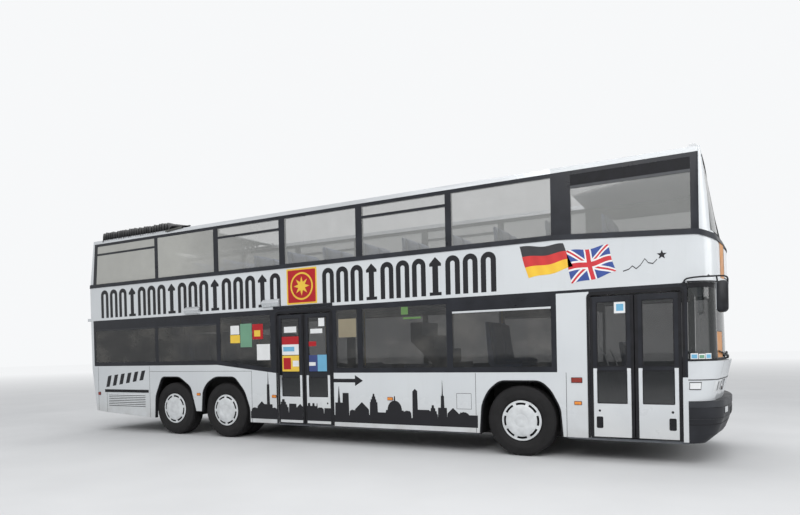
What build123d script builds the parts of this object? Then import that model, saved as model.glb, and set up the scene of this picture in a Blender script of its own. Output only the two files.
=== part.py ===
from build123d import *
import math
import os

os.makedirs("parts", exist_ok=True)

# Open top double decker bus on three axles. Millimetres. +X forward, +Y left, +Z up.
# X is measured from the front axle, Z from the road. The export centres the length.

# Overall sizes
HALF_WIDTH = 1250.0
FRONT_REACH = 2640.0
REAR_REACH = 9380.0
LEDGE_REACH = 150.0
WALL = 50.0
REAR_CORNER_R = 60.0
DRIVE_AXLE_X = -5590.0
TAG_AXLE_X = -6922.0

# Heights of the main lines
SKIRT_BOTTOM = 308.0
TAIL_BOTTOM = 405.0
FLOOR_TOP = 310.0
FLOOR_THICK = 30.0
BELT_LOW = 1190.0
BELT_HIGH = 1342.0
BELT_STRIP = 78.0
LOWER_GLASS_TOP = 2215.0
BAND_BOTTOM = 2300.0
MOULDING_BOTTOM = 2995.0
MOULDING_HEIGHT = 70.0
MOULDING_PROUD = 12.0
UPPER_GLASS_TOP = 3850.0
FRAME_TOP = 3905.0
ROOF_TOP = 3970.0
UPPER_FLOOR_TOP = 2300.0
UPPER_FLOOR_THICK = 50.0

# Stations along the side
REAR_POST_X = 120.0 - REAR_REACH
SKIRT_REAR_X = 230.0 - REAR_REACH
BELT_DROP_REAR_X = -5745.0
BELT_DROP_FRONT_X = -4380.0
MOULDING_DROP_X = 500.0
SIDE_END_X = 2145.0
FRONT_PANEL_X0 = 525.0
MID_DOOR = (-4330.0, -3185.0)
FRONT_DOOR = (957.0, 2085.0)

# Glass
PANE = 6.0
PANE_RECESS = 2.0


def block(x0, x1, y0, y1, z0, z1):
    """Box between two corners."""
    box = Box(x1 - x0, y1 - y0, z1 - z0)
    return Pos((x0 + x1) / 2, (y0 + y1) / 2, (z0 + z1) / 2) * box


def side_prism(points, y0, y1):
    """Outline of (x, z) points, extruded across from y0 to y1."""
    face = Plane.XZ.offset(-y1) * Polygon(*points, align=None)
    return extrude(face, amount=y1 - y0, dir=(0, -1, 0))


def rod(start, end, radius):
    """Round bar between two points."""
    line = Line(start, end)
    return sweep(Plane(origin=start, z_dir=line % 0) * Circle(radius), path=line)


def both_sides(shape):
    """A shape and its mirror image about the middle plane."""
    return [shape, mirror(shape, about=Plane.XZ)]


# Body envelope: plan sections of lines and arcs, lofted between a few heights.
# Columns: height, rear, end of the straight side, nose, its bow, half width of its flat part
NOSE_FLAT = HALF_WIDTH - 370
UPPER_SECTIONS = [
    (BAND_BOTTOM, -REAR_REACH, SIDE_END_X, 2600.0, 90.0, NOSE_FLAT),
    (2800.0, -REAR_REACH + 2, SIDE_END_X, 2590.0, 90.0, NOSE_FLAT),
    (2990.0, -REAR_REACH + 4, 2210.0, 2500.0, 70.0, HALF_WIDTH - 270),
    (ROOF_TOP, -REAR_REACH + 160, 2280.0, 2340.0, 25.0, HALF_WIDTH - 50),
]
PANEL_BOTTOM = 825.0
PANEL_TOP = 1322.0
PANEL_SECTIONS = [
    (PANEL_BOTTOM, 0.0, SIDE_END_X, 2530.0, 90.0, NOSE_FLAT),
    (1100.0, 0.0, SIDE_END_X, 2590.0, 90.0, NOSE_FLAT),
    (PANEL_TOP, 0.0, SIDE_END_X, FRONT_REACH, 90.0, NOSE_FLAT),
]
SCREEN_SECTIONS = [
    (PANEL_TOP, 0.0, SIDE_END_X + 15, 2565.0, 90.0, NOSE_FLAT),
    (BAND_BOTTOM, 0.0, SIDE_END_X + 15, 2545.0, 90.0, NOSE_FLAT),
]
BUMPER_SECTIONS = [
    (296.0, 0.0, SIDE_END_X, 2400.0, 70.0, HALF_WIDTH - 260),
    (400.0, 0.0, SIDE_END_X, 2545.0, 85.0, HALF_WIDTH - 340),
    (620.0, 0.0, SIDE_END_X, 2632.0, 90.0, NOSE_FLAT),
    (PANEL_BOTTOM, 0.0, SIDE_END_X, 2635.0, 90.0, NOSE_FLAT),
]
# Columns: height, rear
TAIL_SECTIONS = [(SKIRT_BOTTOM, -REAR_REACH + 145), (1300.0, -REAR_REACH + 8), (BAND_BOTTOM, -REAR_REACH)]


def nose_point(side_x, nose_x, bow, flat_y, half):
    """Point at 45 degrees on the rounded front corner."""
    depth = nose_x - bow - side_x
    return (side_x + depth * math.sin(math.pi / 4), flat_y + (half - flat_y) * math.cos(math.pi / 4))


def body_section(row, inset):
    """Plan section of the body with rounded corners, moved inwards by inset."""
    z, rear, side_x, nose, bow, flat_y = row
    half = HALF_WIDTH - inset
    rear_x = rear + inset
    nose_x = nose - inset
    corner = REAR_CORNER_R - inset if inset < REAR_CORNER_R - 20 else 20.0
    flat = flat_y - inset
    mx, my = nose_point(side_x, nose_x, bow, flat, half)
    d = corner * (1 - math.cos(math.pi / 4))
    lines = [
        Line((rear_x, corner - half, z), (rear_x, half - corner, z)),
        ThreePointArc((rear_x, half - corner, z), (rear_x + d, half - d, z), (rear_x + corner, half, z)),
        Line((rear_x + corner, half, z), (side_x, half, z)),
        ThreePointArc((side_x, half, z), (mx, my, z), (nose_x - bow, flat, z)),
        ThreePointArc((nose_x - bow, flat, z), (nose_x, 0, z), (nose_x - bow, -flat, z)),
        ThreePointArc((nose_x - bow, -flat, z), (mx, -my, z), (side_x, -half, z)),
        Line((side_x, -half, z), (rear_x + corner, -half, z)),
        ThreePointArc((rear_x + corner, -half, z), (rear_x + d, d - half, z), (rear_x, corner - half, z)),
    ]
    return make_face(Wire(lines))


def tail_section(z, rear, front_x, inset):
    """Plan section of the rear part, square at its front end."""
    half = HALF_WIDTH - inset
    rear_x = rear + inset
    corner = REAR_CORNER_R - inset
    d = corner * (1 - math.cos(math.pi / 4))
    lines = [
        Line((rear_x, corner - half, z), (rear_x, half - corner, z)),
        ThreePointArc((rear_x, half - corner, z), (rear_x + d, half - d, z), (rear_x + corner, half, z)),
        Line((rear_x + corner, half, z), (front_x, half, z)),
        Line((front_x, half, z), (front_x, -half, z)),
        Line((front_x, -half, z), (rear_x + corner, -half, z)),
        ThreePointArc((rear_x + corner, -half, z), (rear_x + d, d - half, z), (rear_x, corner - half, z)),
    ]
    return make_face(Wire(lines))


def envelope(rows, inset):
    """Loft through the plan sections."""
    return loft([body_section(row, inset) for row in rows], ruled=True)


def tail(inset, front_x):
    """Rear part of the lower body, lofted."""
    return loft([tail_section(z, rear, front_x, inset) for z, rear in TAIL_SECTIONS], ruled=True)


upper_outer = envelope(UPPER_SECTIONS, 0.0)
upper_shell = upper_outer - envelope(UPPER_SECTIONS, WALL)
lower_shell = tail(0.0, SIDE_END_X) - tail(WALL, SIDE_END_X + 200)

# Lower body side
FAR = 4000.0
ARCH_FRONT = [
    (-615.0, 0.0), (-582.0, 730.0), (-484.0, 930.0), (-308.0, 1078.0),
    (292.0, 1078.0), (436.0, 951.0), (567.0, 701.0), (598.0, 0.0),
]
ARCH_REAR = [
    (-7454.0, 0.0), (-7416.0, 744.0), (-7228.0, 1126.0), (-6741.0, 1126.0), (-6440.0, 935.0),
    (-6306.0, 470.0), (-6165.0, 470.0), (-6135.0, 860.0), (-6014.0, 1017.0), (-5808.0, 1128.0),
    (-5330.0, 1128.0), (-5094.0, 873.0), (-4969.0, 553.0), (-4969.0, 0.0),
]
BELT_LINE = [
    (REAR_POST_X, BELT_HIGH), (BELT_DROP_REAR_X, BELT_HIGH), (BELT_DROP_FRONT_X, BELT_LOW),
    (FRONT_PANEL_X0, BELT_LOW),
]
TAIL_SKIRT = [(SKIRT_REAR_X, TAIL_BOTTOM), (SKIRT_REAR_X + 285, 375.0), (-7575.0, SKIRT_BOTTOM)]


def near(y_side):
    """Y range that holds one side wall."""
    return (HALF_WIDTH - 400, HALF_WIDTH + 50) if y_side > 0 else (-HALF_WIDTH - 50, -HALF_WIDTH + 400)


def side_region(points, y_side):
    y0, y1 = near(y_side)
    return side_prism(points, y0, y1)


skirt_outline = TAIL_SKIRT + [(FRONT_PANEL_X0, SKIRT_BOTTOM)] + BELT_LINE[:0:-1] + [(SKIRT_REAR_X, BELT_HIGH)]
arches = side_prism(ARCH_FRONT, -FAR, FAR) + side_prism(ARCH_REAR, -FAR, FAR)
door_top = 2225.0
mid_opening = block(MID_DOOR[0], MID_DOOR[1], -FAR, 0, 0, door_top)
front_post_z = 1120.0
skirts = []
right = lower_shell & side_region(skirt_outline, -1)
skirts += (right - arches - mid_opening).solids()
left = lower_shell & side_region(skirt_outline, 1)
skirts += (left - arches).solids()
# Tall panel between the front wheel and the front door, and its image beside the driver
panel_low = block(FRONT_PANEL_X0, FRONT_DOOR[0], -FAR, 0, SKIRT_BOTTOM, 2262.0)
skirts += ((lower_shell & panel_low) - arches).solids()
skirts += (lower_shell & block(FRONT_DOOR[1], SIDE_END_X, -FAR, 0, SKIRT_BOTTOM, front_post_z)).solids()
driver_panel = block(FRONT_PANEL_X0, SIDE_END_X, 0, FAR, SKIRT_BOTTOM, BELT_LOW)
skirts += ((lower_shell & driver_panel) - arches).solids()

# Lower window frames, black: belt strip, posts, header with the door gear covers
# Columns: rear edge, front edge of each lower window
LOWER_WINDOWS_BOTH = [(185.0 - REAR_REACH, -7390.0), (-7298.0, -5750.0)]
LOWER_WINDOWS_RIGHT = [(-3088.0, -2680.0), (-2582.0, -1112.0), (-1015.0, 452.0)]
LOWER_WINDOWS_LEFT = [(-4285.0, -2680.0), (-2582.0, -1112.0), (-1015.0, 452.0), (620.0, 2050.0)]
SLOPED_WINDOW = (-5650.0, -4470.0)
GLASS_LOW_REAR = BELT_HIGH + BELT_STRIP
GLASS_LOW_FRONT = BELT_LOW + BELT_STRIP


def sloped_outline():
    """Window over the falling belt line."""
    x0, x1 = SLOPED_WINDOW
    fall = (BELT_HIGH - BELT_LOW) / (BELT_DROP_FRONT_X - BELT_DROP_REAR_X)
    z0 = GLASS_LOW_REAR - fall * (x0 - BELT_DROP_REAR_X)
    z1 = GLASS_LOW_REAR - fall * (x1 - BELT_DROP_REAR_X)
    return [(x0, z0), (x1, z1), (x1, LOWER_GLASS_TOP), (x0, LOWER_GLASS_TOP)]


def window_rect(x0, x1, z0, z1):
    return [(x0, z0), (x1, z0), (x1, z1), (x0, z1)]


right_lower = [window_rect(a, b, GLASS_LOW_REAR, LOWER_GLASS_TOP) for a, b in LOWER_WINDOWS_BOTH]
right_lower += [sloped_outline()]
left_lower = list(right_lower)
right_lower += [window_rect(a, b, GLASS_LOW_FRONT, LOWER_GLASS_TOP) for a, b in LOWER_WINDOWS_RIGHT]
left_lower += [window_rect(a, b, GLASS_LOW_FRONT, LOWER_GLASS_TOP) for a, b in LOWER_WINDOWS_LEFT]
frame_outline = BELT_LINE + [(FRONT_PANEL_X0, BAND_BOTTOM), (REAR_POST_X, BAND_BOTTOM)]
GEAR_DEPTH = 160.0
GEAR_BOTTOM = 2219.5
UPPER_FLOOR_BOTTOM = UPPER_FLOOR_TOP - UPPER_FLOOR_THICK
right_frame = lower_shell & side_region(frame_outline, -1)
header = block(FRONT_PANEL_X0, SIDE_END_X, -FAR, 0, door_top, BAND_BOTTOM)
right_frame += lower_shell & header
right_frame -= mid_opening
right_frame -= panel_low
right_frame += lower_shell & block(FRONT_DOOR[1], SIDE_END_X, -FAR, 0, front_post_z, BAND_BOTTOM)
for outline in right_lower:
    right_frame -= side_region(outline, -1)
for x0, x1 in (MID_DOOR, FRONT_DOOR):
    right_frame += block(x0 - 60, x1 + 60, WALL - HALF_WIDTH, WALL + GEAR_DEPTH - HALF_WIDTH, GEAR_BOTTOM,
                         UPPER_FLOOR_BOTTOM)
left_frame_outline = BELT_LINE[:3] + [
    (SIDE_END_X, BELT_LOW), (SIDE_END_X, BAND_BOTTOM), (REAR_POST_X, BAND_BOTTOM),
]
left_frame = lower_shell & side_region(left_frame_outline, 1)
for outline in left_lower:
    left_frame -= side_region(outline, 1)
lower_frames = right_frame.solids() + left_frame.solids()

# Upper body side
# Columns: rear edge at the bottom, front edge, lean of the rear edge, whether a bar crosses near the top
UPPER_WINDOWS = [
    (209.0 - REAR_REACH, -7340.0, 102.0, True), (-7250.0, -5770.0, 0.0, False), (-5655.0, -4235.0, 0.0, True),
    (-4112.0, -2670.0, 0.0, False), (-2550.0, -1098.0, 0.0, True), (-1000.0, 475.0, 0.0, False),
]
BAR = (3662.0, 3702.0)
GLASS_BOTTOM_UPPER = MOULDING_BOTTOM + MOULDING_HEIGHT
SLOPE_END = (2280.0, 2890.0)
NOSE_BELT_Z = 2805.0
front_fall = (MOULDING_BOTTOM - SLOPE_END[1]) / (SLOPE_END[0] - MOULDING_DROP_X)
FRONT_WINDOW = (742.0, 2200.0)


def moulding_line(rise):
    """Lower edge of the upper belt moulding, lifted by rise, from rear to nose."""
    return [
        (-REAR_REACH - 100, MOULDING_BOTTOM + rise), (MOULDING_DROP_X, MOULDING_BOTTOM + rise),
        (SLOPE_END[0], SLOPE_END[1] + rise), (2560.0, NOSE_BELT_Z + rise), (2800.0, NOSE_BELT_Z + rise),
    ]


seam = MOULDING_HEIGHT / 2
belt_seam = moulding_line(seam)
above_seam = side_prism(belt_seam + [(2800.0, 5000.0), (-REAR_REACH - 100, 5000.0)], -FAR, FAR)
band_ring = upper_shell - above_seam
window_ring = upper_shell & above_seam
window_ring -= block(-FAR * 3, FAR, -FAR, FAR, FRAME_TOP, 5000)
SEAM_X = 90.0 - REAR_REACH
UPPER_SEAM = [(SEAM_X, BAND_BOTTOM - 10), (SEAM_X, MOULDING_BOTTOM), (SEAM_X + 133, ROOF_TOP + 10)]
ahead_of_seam = side_prism(UPPER_SEAM + [(FAR, ROOF_TOP + 10), (FAR, BAND_BOTTOM - 10)], -FAR, FAR)
side_zone = ahead_of_seam & block(-FAR * 3, SIDE_END_X, -FAR, FAR, 2000, 5000)
upper_bands = (band_ring & side_zone).solids()
front_band = band_ring & block(SIDE_END_X, FAR, -FAR, FAR, 2000, 4000)
rear_upper = (upper_shell - ahead_of_seam) & block(-FAR * 3, 0, -FAR, FAR, 2000, FRAME_TOP)
moulding_strip = side_prism(moulding_line(0) + moulding_line(MOULDING_HEIGHT)[::-1], -FAR, FAR)
belt_mouldings = (envelope(UPPER_SECTIONS, -MOULDING_PROUD) - upper_outer) & moulding_strip


def bottom_at(x):
    """Lower edge of the front window's glass."""
    return GLASS_BOTTOM_UPPER - front_fall * max(0.0, x - MOULDING_DROP_X)


upper_panes = []
glass_height = UPPER_GLASS_TOP - GLASS_BOTTOM_UPPER


def leaning_rect(x0, x1, lean, z0, z1):
    """Window outline whose rear edge leans forward by lean over the full glass height."""
    lean_low = lean * (z0 - GLASS_BOTTOM_UPPER) / glass_height
    lean_high = lean * (z1 - GLASS_BOTTOM_UPPER) / glass_height
    return [(x0 + lean_low, z0), (x1, z0), (x1, z1), (x0 + lean_high, z1)]


for x0, x1, lean, barred in UPPER_WINDOWS:
    levels = [(GLASS_BOTTOM_UPPER, UPPER_GLASS_TOP)]
    if barred:
        levels = [(GLASS_BOTTOM_UPPER, BAR[0]), (BAR[1], UPPER_GLASS_TOP)]
    for z0, z1 in levels:
        upper_panes.append(leaning_rect(x0, x1, lean, z0, z1))
fx0, fx1 = FRONT_WINDOW
upper_panes.append([(fx0, bottom_at(fx0)), (fx1, bottom_at(fx1)), (fx1, BAR[0]), (fx0, BAR[0])])
upper_panes.append(window_rect(fx0, fx1, BAR[1], UPPER_GLASS_TOP))
FRAME_END_X = 2290.0
side_frames = window_ring & ahead_of_seam & block(-FAR * 3, FRAME_END_X, -FAR, FAR, 2500, 4000)
for outline in upper_panes:
    side_frames -= side_prism(outline, -FAR, FAR)
upper_frames = side_frames.solids()

# Front of the upper deck: corner posts, header and roof in one piece, with the windscreen hole cut
front_mask = window_ring & block(FRAME_END_X, FAR, -FAR, FAR, 2500, 4000)
front_mask += upper_shell & block(FRAME_END_X, FAR, -FAR, FAR, FRAME_TOP - 60, FRAME_TOP)
ROOF_REAR_X = 475.0
roof_slab = upper_outer & block(ROOF_REAR_X, FAR, -FAR, FAR, FRAME_TOP, ROOF_TOP)
front_roof = front_mask + roof_slab
SCREEN_HALF = HALF_WIDTH - 140
screen_hole = block(2200, FAR, -SCREEN_HALF, SCREEN_HALF, 2940.0, 3850.0)
front_roof -= screen_hole
pane_ring_upper = envelope(UPPER_SECTIONS, PANE_RECESS) - envelope(UPPER_SECTIONS, PANE_RECESS + PANE)
upper_screen = pane_ring_upper & screen_hole & block(2290, FAR, -FAR, FAR, 0, 5000)

# Rear: lower wall with the engine flap opening and lamps' recesses, upper wall with its window
tail_outline = [
    (-FAR * 3, TAIL_BOTTOM), (SKIRT_REAR_X, TAIL_BOTTOM), (SKIRT_REAR_X, BELT_HIGH),
    (REAR_POST_X, BELT_HIGH), (REAR_POST_X, BAND_BOTTOM), (-FAR * 3, BAND_BOTTOM),
]
rear_lower = lower_shell & side_prism(tail_outline, -FAR, FAR)
FLAP_HALF = HALF_WIDTH - 390
FLAP_Z = (500.0, 1330.0)
FLAP_GAP = 6.0
FLAP_THICK = 30.0
flap_hole = block(-FAR * 3, SKIRT_REAR_X, -FLAP_HALF, FLAP_HALF, FLAP_Z[0], FLAP_Z[1])
flap_face_half = FLAP_HALF - FLAP_GAP
engine_flap = tail(0.0, SIDE_END_X) - tail(FLAP_THICK, SIDE_END_X + 200)
engine_flap &= block(-FAR * 3, SKIRT_REAR_X, -flap_face_half, flap_face_half,
                     FLAP_Z[0] + FLAP_GAP, FLAP_Z[1] - FLAP_GAP)
rear_lower -= flap_hole

# Three barrel hinges along the flap's top edge: knuckle on the flap, pin between two ears on the wall
HINGE_X = -REAR_REACH
HINGE_Z = FLAP_Z[1] - 4
HINGE_PIN_R = 5.0
HINGE_CLEARANCE = 0.3
KNUCKLE_R = 8.0
KNUCKLE_LENGTH = 50.0
EAR_R = 7.0
EAR_THICK = 12.0
EAR_PITCH = 72.0
HINGE_DEPTH = 20.0
for y in (-600.0, 0.0, 600.0):
    axle_at = Pos(HINGE_X, y, HINGE_Z) * Rot(90, 0, 0)
    engine_flap += axle_at * Cylinder(KNUCKLE_R, KNUCKLE_LENGTH)
    engine_flap += block(HINGE_X, HINGE_X + HINGE_DEPTH, y - KNUCKLE_LENGTH / 2, y + KNUCKLE_LENGTH / 2,
                         HINGE_Z - 12, HINGE_Z - 2)
    engine_flap -= axle_at * Cylinder(HINGE_PIN_R + HINGE_CLEARANCE, KNUCKLE_LENGTH + 10)
    rear_lower += axle_at * Cylinder(HINGE_PIN_R, EAR_PITCH + EAR_THICK)
    for ear_y in (y - EAR_PITCH / 2, y + EAR_PITCH / 2):
        rear_lower += Pos(HINGE_X, ear_y, HINGE_Z) * Rot(90, 0, 0) * Cylinder(EAR_R, EAR_THICK)
        rear_lower += block(HINGE_X - 6, HINGE_X + HINGE_DEPTH, ear_y - EAR_THICK / 2, ear_y + EAR_THICK / 2,
                            HINGE_Z, HINGE_Z + 22)
REAR_WINDOW_HALF = HALF_WIDTH - 350
rear_hole_lower = block(-FAR * 3, REAR_POST_X + 50, -REAR_WINDOW_HALF, REAR_WINDOW_HALF, 1480.0, 2180.0)
rear_lower -= rear_hole_lower
LEDGE_HALF = HALF_WIDTH - 60.0
ledge = block(-REAR_REACH - LEDGE_REACH, WALL - REAR_REACH, -LEDGE_HALF, LEDGE_HALF, BAND_BOTTOM, 2360.0)
rear_hole_upper = block(-FAR * 3, REAR_POST_X + 300, -REAR_WINDOW_HALF, REAR_WINDOW_HALF, 3090.0, 3820.0)
rear_upper = rear_upper - rear_hole_upper + ledge
pane_ring_tail = tail(PANE_RECESS, SIDE_END_X) - tail(PANE_RECESS + PANE, SIDE_END_X + 200)
rear_pane_lower = pane_ring_tail & rear_hole_lower & block(-FAR * 3, REAR_POST_X, -FAR, FAR, 0, 5000)
rear_pane_upper = pane_ring_upper & rear_hole_upper & block(-FAR * 3, REAR_POST_X + 60, -FAR, FAR, 0, 5000)

# Front: panel, bumper, lower windscreen
panel_rows = [(z, -500.0, s, n, b, f) for z, r, s, n, b, f in PANEL_SECTIONS]
SHELF_X = 2330.0
SHELF_THICK = 22.0
front_panel = envelope(panel_rows, 0.0) - envelope(panel_rows, WALL)
front_panel += (envelope(panel_rows, 0.0) - envelope(panel_rows, 120.0)) & block(
    SHELF_X, FAR, -FAR, FAR, PANEL_TOP - SHELF_THICK, PANEL_TOP)
front_panel &= block(SIDE_END_X, FAR, -FAR, FAR, 0, 5000)
bumper_rows = [(z, -500.0, s, n, b, f) for z, r, s, n, b, f in BUMPER_SECTIONS]
front_bumper = envelope(bumper_rows, 0.0) - envelope(bumper_rows, 60.0)
front_bumper += (envelope(bumper_rows, 0.0) - envelope(bumper_rows, 160.0)) & block(
    SHELF_X, FAR, -FAR, FAR, PANEL_BOTTOM - SHELF_THICK, PANEL_BOTTOM)
front_bumper &= block(SIDE_END_X, FAR, -FAR, FAR, 0, 5000)
screen_rows = [(z, -500.0, s, n, b, f) for z, r, s, n, b, f in SCREEN_SECTIONS]
lower_screen = envelope(screen_rows, 0.0) - envelope(screen_rows, PANE + 2)
lower_screen &= block(SIDE_END_X + 8, FAR, -FAR, FAR, 0, 5000)
SIGN_HALF = HALF_WIDTH - 450
SIGN_Z = (2400.0, 2770.0)
front_band -= block(2450, FAR, -SIGN_HALF, SIGN_HALF, SIGN_Z[0], SIGN_Z[1])
sign_pane = pane_ring_upper & block(2450, FAR, -SIGN_HALF, SIGN_HALF, SIGN_Z[0], SIGN_Z[1])
windscreens = [lower_screen, upper_screen, sign_pane]
rear_panes = [rear_pane_lower, rear_pane_upper]


def pane(outline, side):
    """Flat pane that fills a window outline, just inside the frame's face."""
    outer = HALF_WIDTH - PANE_RECESS
    if side > 0:
        return side_prism(outline, outer - PANE, outer)
    return side_prism(outline, -outer, PANE - outer)


side_glass = [pane(outline, -1) for outline in right_lower] + [pane(outline, 1) for outline in left_lower]
for outline in upper_panes:
    side_glass += [pane(outline, -1), pane(outline, 1)]

# Floors
FRONT_HOUSING_X = 660.0
FRONT_HOUSING_Y = HALF_WIDTH - 730
FRONT_HOUSING_Z = 1130.0
REAR_HOUSING = (-7520.0, -4910.0)
REAR_HOUSING_Y = HALF_WIDTH - 710
REAR_HOUSING_Z = 1160.0
SHEET = 20.0
PODIUM_TOP = 550.0
STEP_X = -4450.0
TAIL_FLOOR_TOP = 1010.0
TAIL_FLOOR_X = 145.0 - REAR_REACH
INSIDE = HALF_WIDTH - WALL


def housing(x0, x1, y_in, top, foot):
    """Sheets of a wheel housing, open below and outwards: inner wall, end walls, top."""
    return [
        block(x0, x1, y_in - SHEET, y_in, foot, top + SHEET), block(x0, x0 + SHEET, y_in, INSIDE, foot, top),
        block(x1 - SHEET, x1, y_in, INSIDE, foot, top), block(x0, x1, y_in, INSIDE, top, top + SHEET),
    ]


def floor_sheet(x0, x1, half, top):
    return block(x0, x1, -half, half, top - FLOOR_THICK, top)


lower_floor = [
    floor_sheet(STEP_X, -FRONT_HOUSING_X, INSIDE, FLOOR_TOP),
    floor_sheet(-FRONT_HOUSING_X, FRONT_HOUSING_X, FRONT_HOUSING_Y - SHEET, FLOOR_TOP),
    floor_sheet(FRONT_HOUSING_X, SIDE_END_X, INSIDE, FLOOR_TOP),
    floor_sheet(REAR_HOUSING[1], STEP_X, INSIDE, PODIUM_TOP),
    floor_sheet(REAR_HOUSING[0], REAR_HOUSING[1], REAR_HOUSING_Y - SHEET, PODIUM_TOP),
    floor_sheet(TAIL_FLOOR_X, REAR_HOUSING[0], INSIDE, TAIL_FLOOR_TOP),
    block(STEP_X, STEP_X + FLOOR_THICK, -INSIDE, INSIDE, FLOOR_TOP, PODIUM_TOP),
    block(REAR_HOUSING[0] - FLOOR_THICK, REAR_HOUSING[0], -INSIDE, INSIDE, PODIUM_TOP - FLOOR_THICK,
          TAIL_FLOOR_TOP - FLOOR_THICK),
]
front_foot = FLOOR_TOP - FLOOR_THICK
rear_foot = PODIUM_TOP - FLOOR_THICK
for sheet in housing(-FRONT_HOUSING_X, FRONT_HOUSING_X, FRONT_HOUSING_Y, FRONT_HOUSING_Z, front_foot):
    lower_floor += both_sides(sheet)
for sheet in housing(REAR_HOUSING[0], REAR_HOUSING[1], REAR_HOUSING_Y, REAR_HOUSING_Z, rear_foot):
    lower_floor += both_sides(sheet)

# Stairs on the left behind the driver, and the well in the upper floor
STAIR_X0 = -2600.0
STAIR_Y = (480.0, INSIDE)
RISERS = 8
rise = (UPPER_FLOOR_TOP - FLOOR_TOP) / RISERS
TREAD = 240.0
WELL = (STAIR_X0 - 20, -900.0)
upper_floor = block(WALL + 25 - REAR_REACH, SIDE_END_X, -INSIDE, INSIDE, UPPER_FLOOR_BOTTOM, UPPER_FLOOR_TOP)
upper_floor -= block(WELL[0], WELL[1], STAIR_Y[0], FAR, 2000, 2500)
stair_points = []
for n in range(RISERS - 1):
    x = STAIR_X0 + (RISERS - 1 - n) * TREAD
    stair_points += [(x, FLOOR_TOP + n * rise), (x, FLOOR_TOP + (n + 1) * rise)]
stair_points += [(STAIR_X0, FLOOR_TOP + (RISERS - 1) * rise)]
stair_points += [(STAIR_X0, FLOOR_TOP + (RISERS - 2) * rise - 100)]
stair_points += [(STAIR_X0 + (RISERS - 2) * TREAD, FLOOR_TOP)]
stairs = side_prism(stair_points, STAIR_Y[0] + 20, STAIR_Y[1])

# Roof rails and the folded fabric roof on them
rail_ring = upper_outer - envelope(UPPER_SECTIONS, 70.0)
roof_rails = rail_ring & block(-FAR * 3, ROOF_REAR_X, -FAR, FAR, FRAME_TOP, ROOF_TOP)
FOLD = (500.0 - REAR_REACH, -6920.0, -6390.0)
FOLD_TOP = 4136.0
FOLD_HALF = HALF_WIDTH - 25.0
fold_outline = [
    (FOLD[0], ROOF_TOP + 40), (FOLD[0] + 70, FOLD_TOP), (FOLD[1], FOLD_TOP),
    (FOLD[2], ROOF_TOP + 30), (FOLD[2], ROOF_TOP), (FOLD[0], ROOF_TOP),
]
folded_roof = side_prism(fold_outline, -FOLD_HALF, FOLD_HALF)

# Seats: one solid for each double seat
SEAT_WIDTH = 860.0
SEAT_OUTER = INSIDE - 30.0
CUSHION_Z = 430.0
BACK_TOP = 1000.0


def double_seat(x, base, stand, side):
    """Double seat whose cushion's rear end is at x, on a pedestal that stands at height stand."""
    outline = [
        (x - 60, base + CUSHION_Z - 100), (x + 400, base + CUSHION_Z - 90), (x + 430, base + CUSHION_Z - 20),
        (x + 400, base + CUSHION_Z + 20), (x + 40, base + CUSHION_Z), (x - 60, base + BACK_TOP),
        (x - 130, base + BACK_TOP), (x - 90, base + CUSHION_Z - 40),
    ]
    y0 = side * (SEAT_OUTER - SEAT_WIDTH)
    y1 = side * SEAT_OUTER
    seat = side_prism(outline, min(y0, y1), max(y0, y1))
    mid = (y0 + y1) / 2
    return seat + block(x + 20, x + 300, mid - 40, mid + 40, stand, base + CUSHION_Z - 90)


# Columns: cushion's rear end, level it is measured from, level of its pedestal's foot, sides
ROW_PITCH = 750.0
TAIL_ROWS = int((REAR_REACH + REAR_HOUSING[0] - 200) // ROW_PITCH)
TAIL_ROW_X = 630.0 - REAR_REACH
tail_rows = [(TAIL_ROW_X + n * ROW_PITCH, TAIL_FLOOR_TOP, TAIL_FLOOR_TOP, (1, -1)) for n in range(TAIL_ROWS)]
LOWER_ROWS = tail_rows + [
    (-7180.0, 960.0, REAR_HOUSING_Z + SHEET, (1, -1)), (-6430.0, 960.0, REAR_HOUSING_Z + SHEET, (1, -1)),
    (-5680.0, 960.0, REAR_HOUSING_Z + SHEET, (1, -1)), (-3500.0, FLOOR_TOP, FLOOR_TOP, (1,)),
    (-2500.0, FLOOR_TOP, FLOOR_TOP, (-1,)), (-1750.0, FLOOR_TOP, FLOOR_TOP, (-1,)),
    (-400.0, 930.0, FRONT_HOUSING_Z + SHEET, (-1,)),
]
lower_seats = [double_seat(x, base, stand, s) for x, base, stand, sides in LOWER_ROWS for s in sides]
UPPER_ROW_X = 1250.0
UPPER_ROWS = int((UPPER_ROW_X + REAR_REACH - 100) // ROW_PITCH)
upper_seats = []
for n in range(UPPER_ROWS):
    x = UPPER_ROW_X - n * ROW_PITCH
    upper_seats.append(double_seat(x, UPPER_FLOOR_TOP, UPPER_FLOOR_TOP, -1))
    if x - 200 > WELL[1] or x + 500 < WELL[0]:
        upper_seats.append(double_seat(x, UPPER_FLOOR_TOP, UPPER_FLOOR_TOP, 1))
driver_x, driver_y = 1250.0, 620.0
DRIVER_HALF = 240.0
driver_outline = [
    (driver_x - 60, 850), (driver_x + 420, 850), (driver_x + 440, 960), (driver_x + 50, 950),
    (driver_x - 80, 1600), (driver_x - 170, 1600),
]
driver = side_prism(driver_outline, driver_y - DRIVER_HALF, driver_y + DRIVER_HALF)
CAB_FLOOR = 560.0
driver += Pos(driver_x + 180, driver_y, (CAB_FLOOR + 850) / 2) * Cylinder(110, 850 - CAB_FLOOR)
lower_seats.append(driver)

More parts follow.
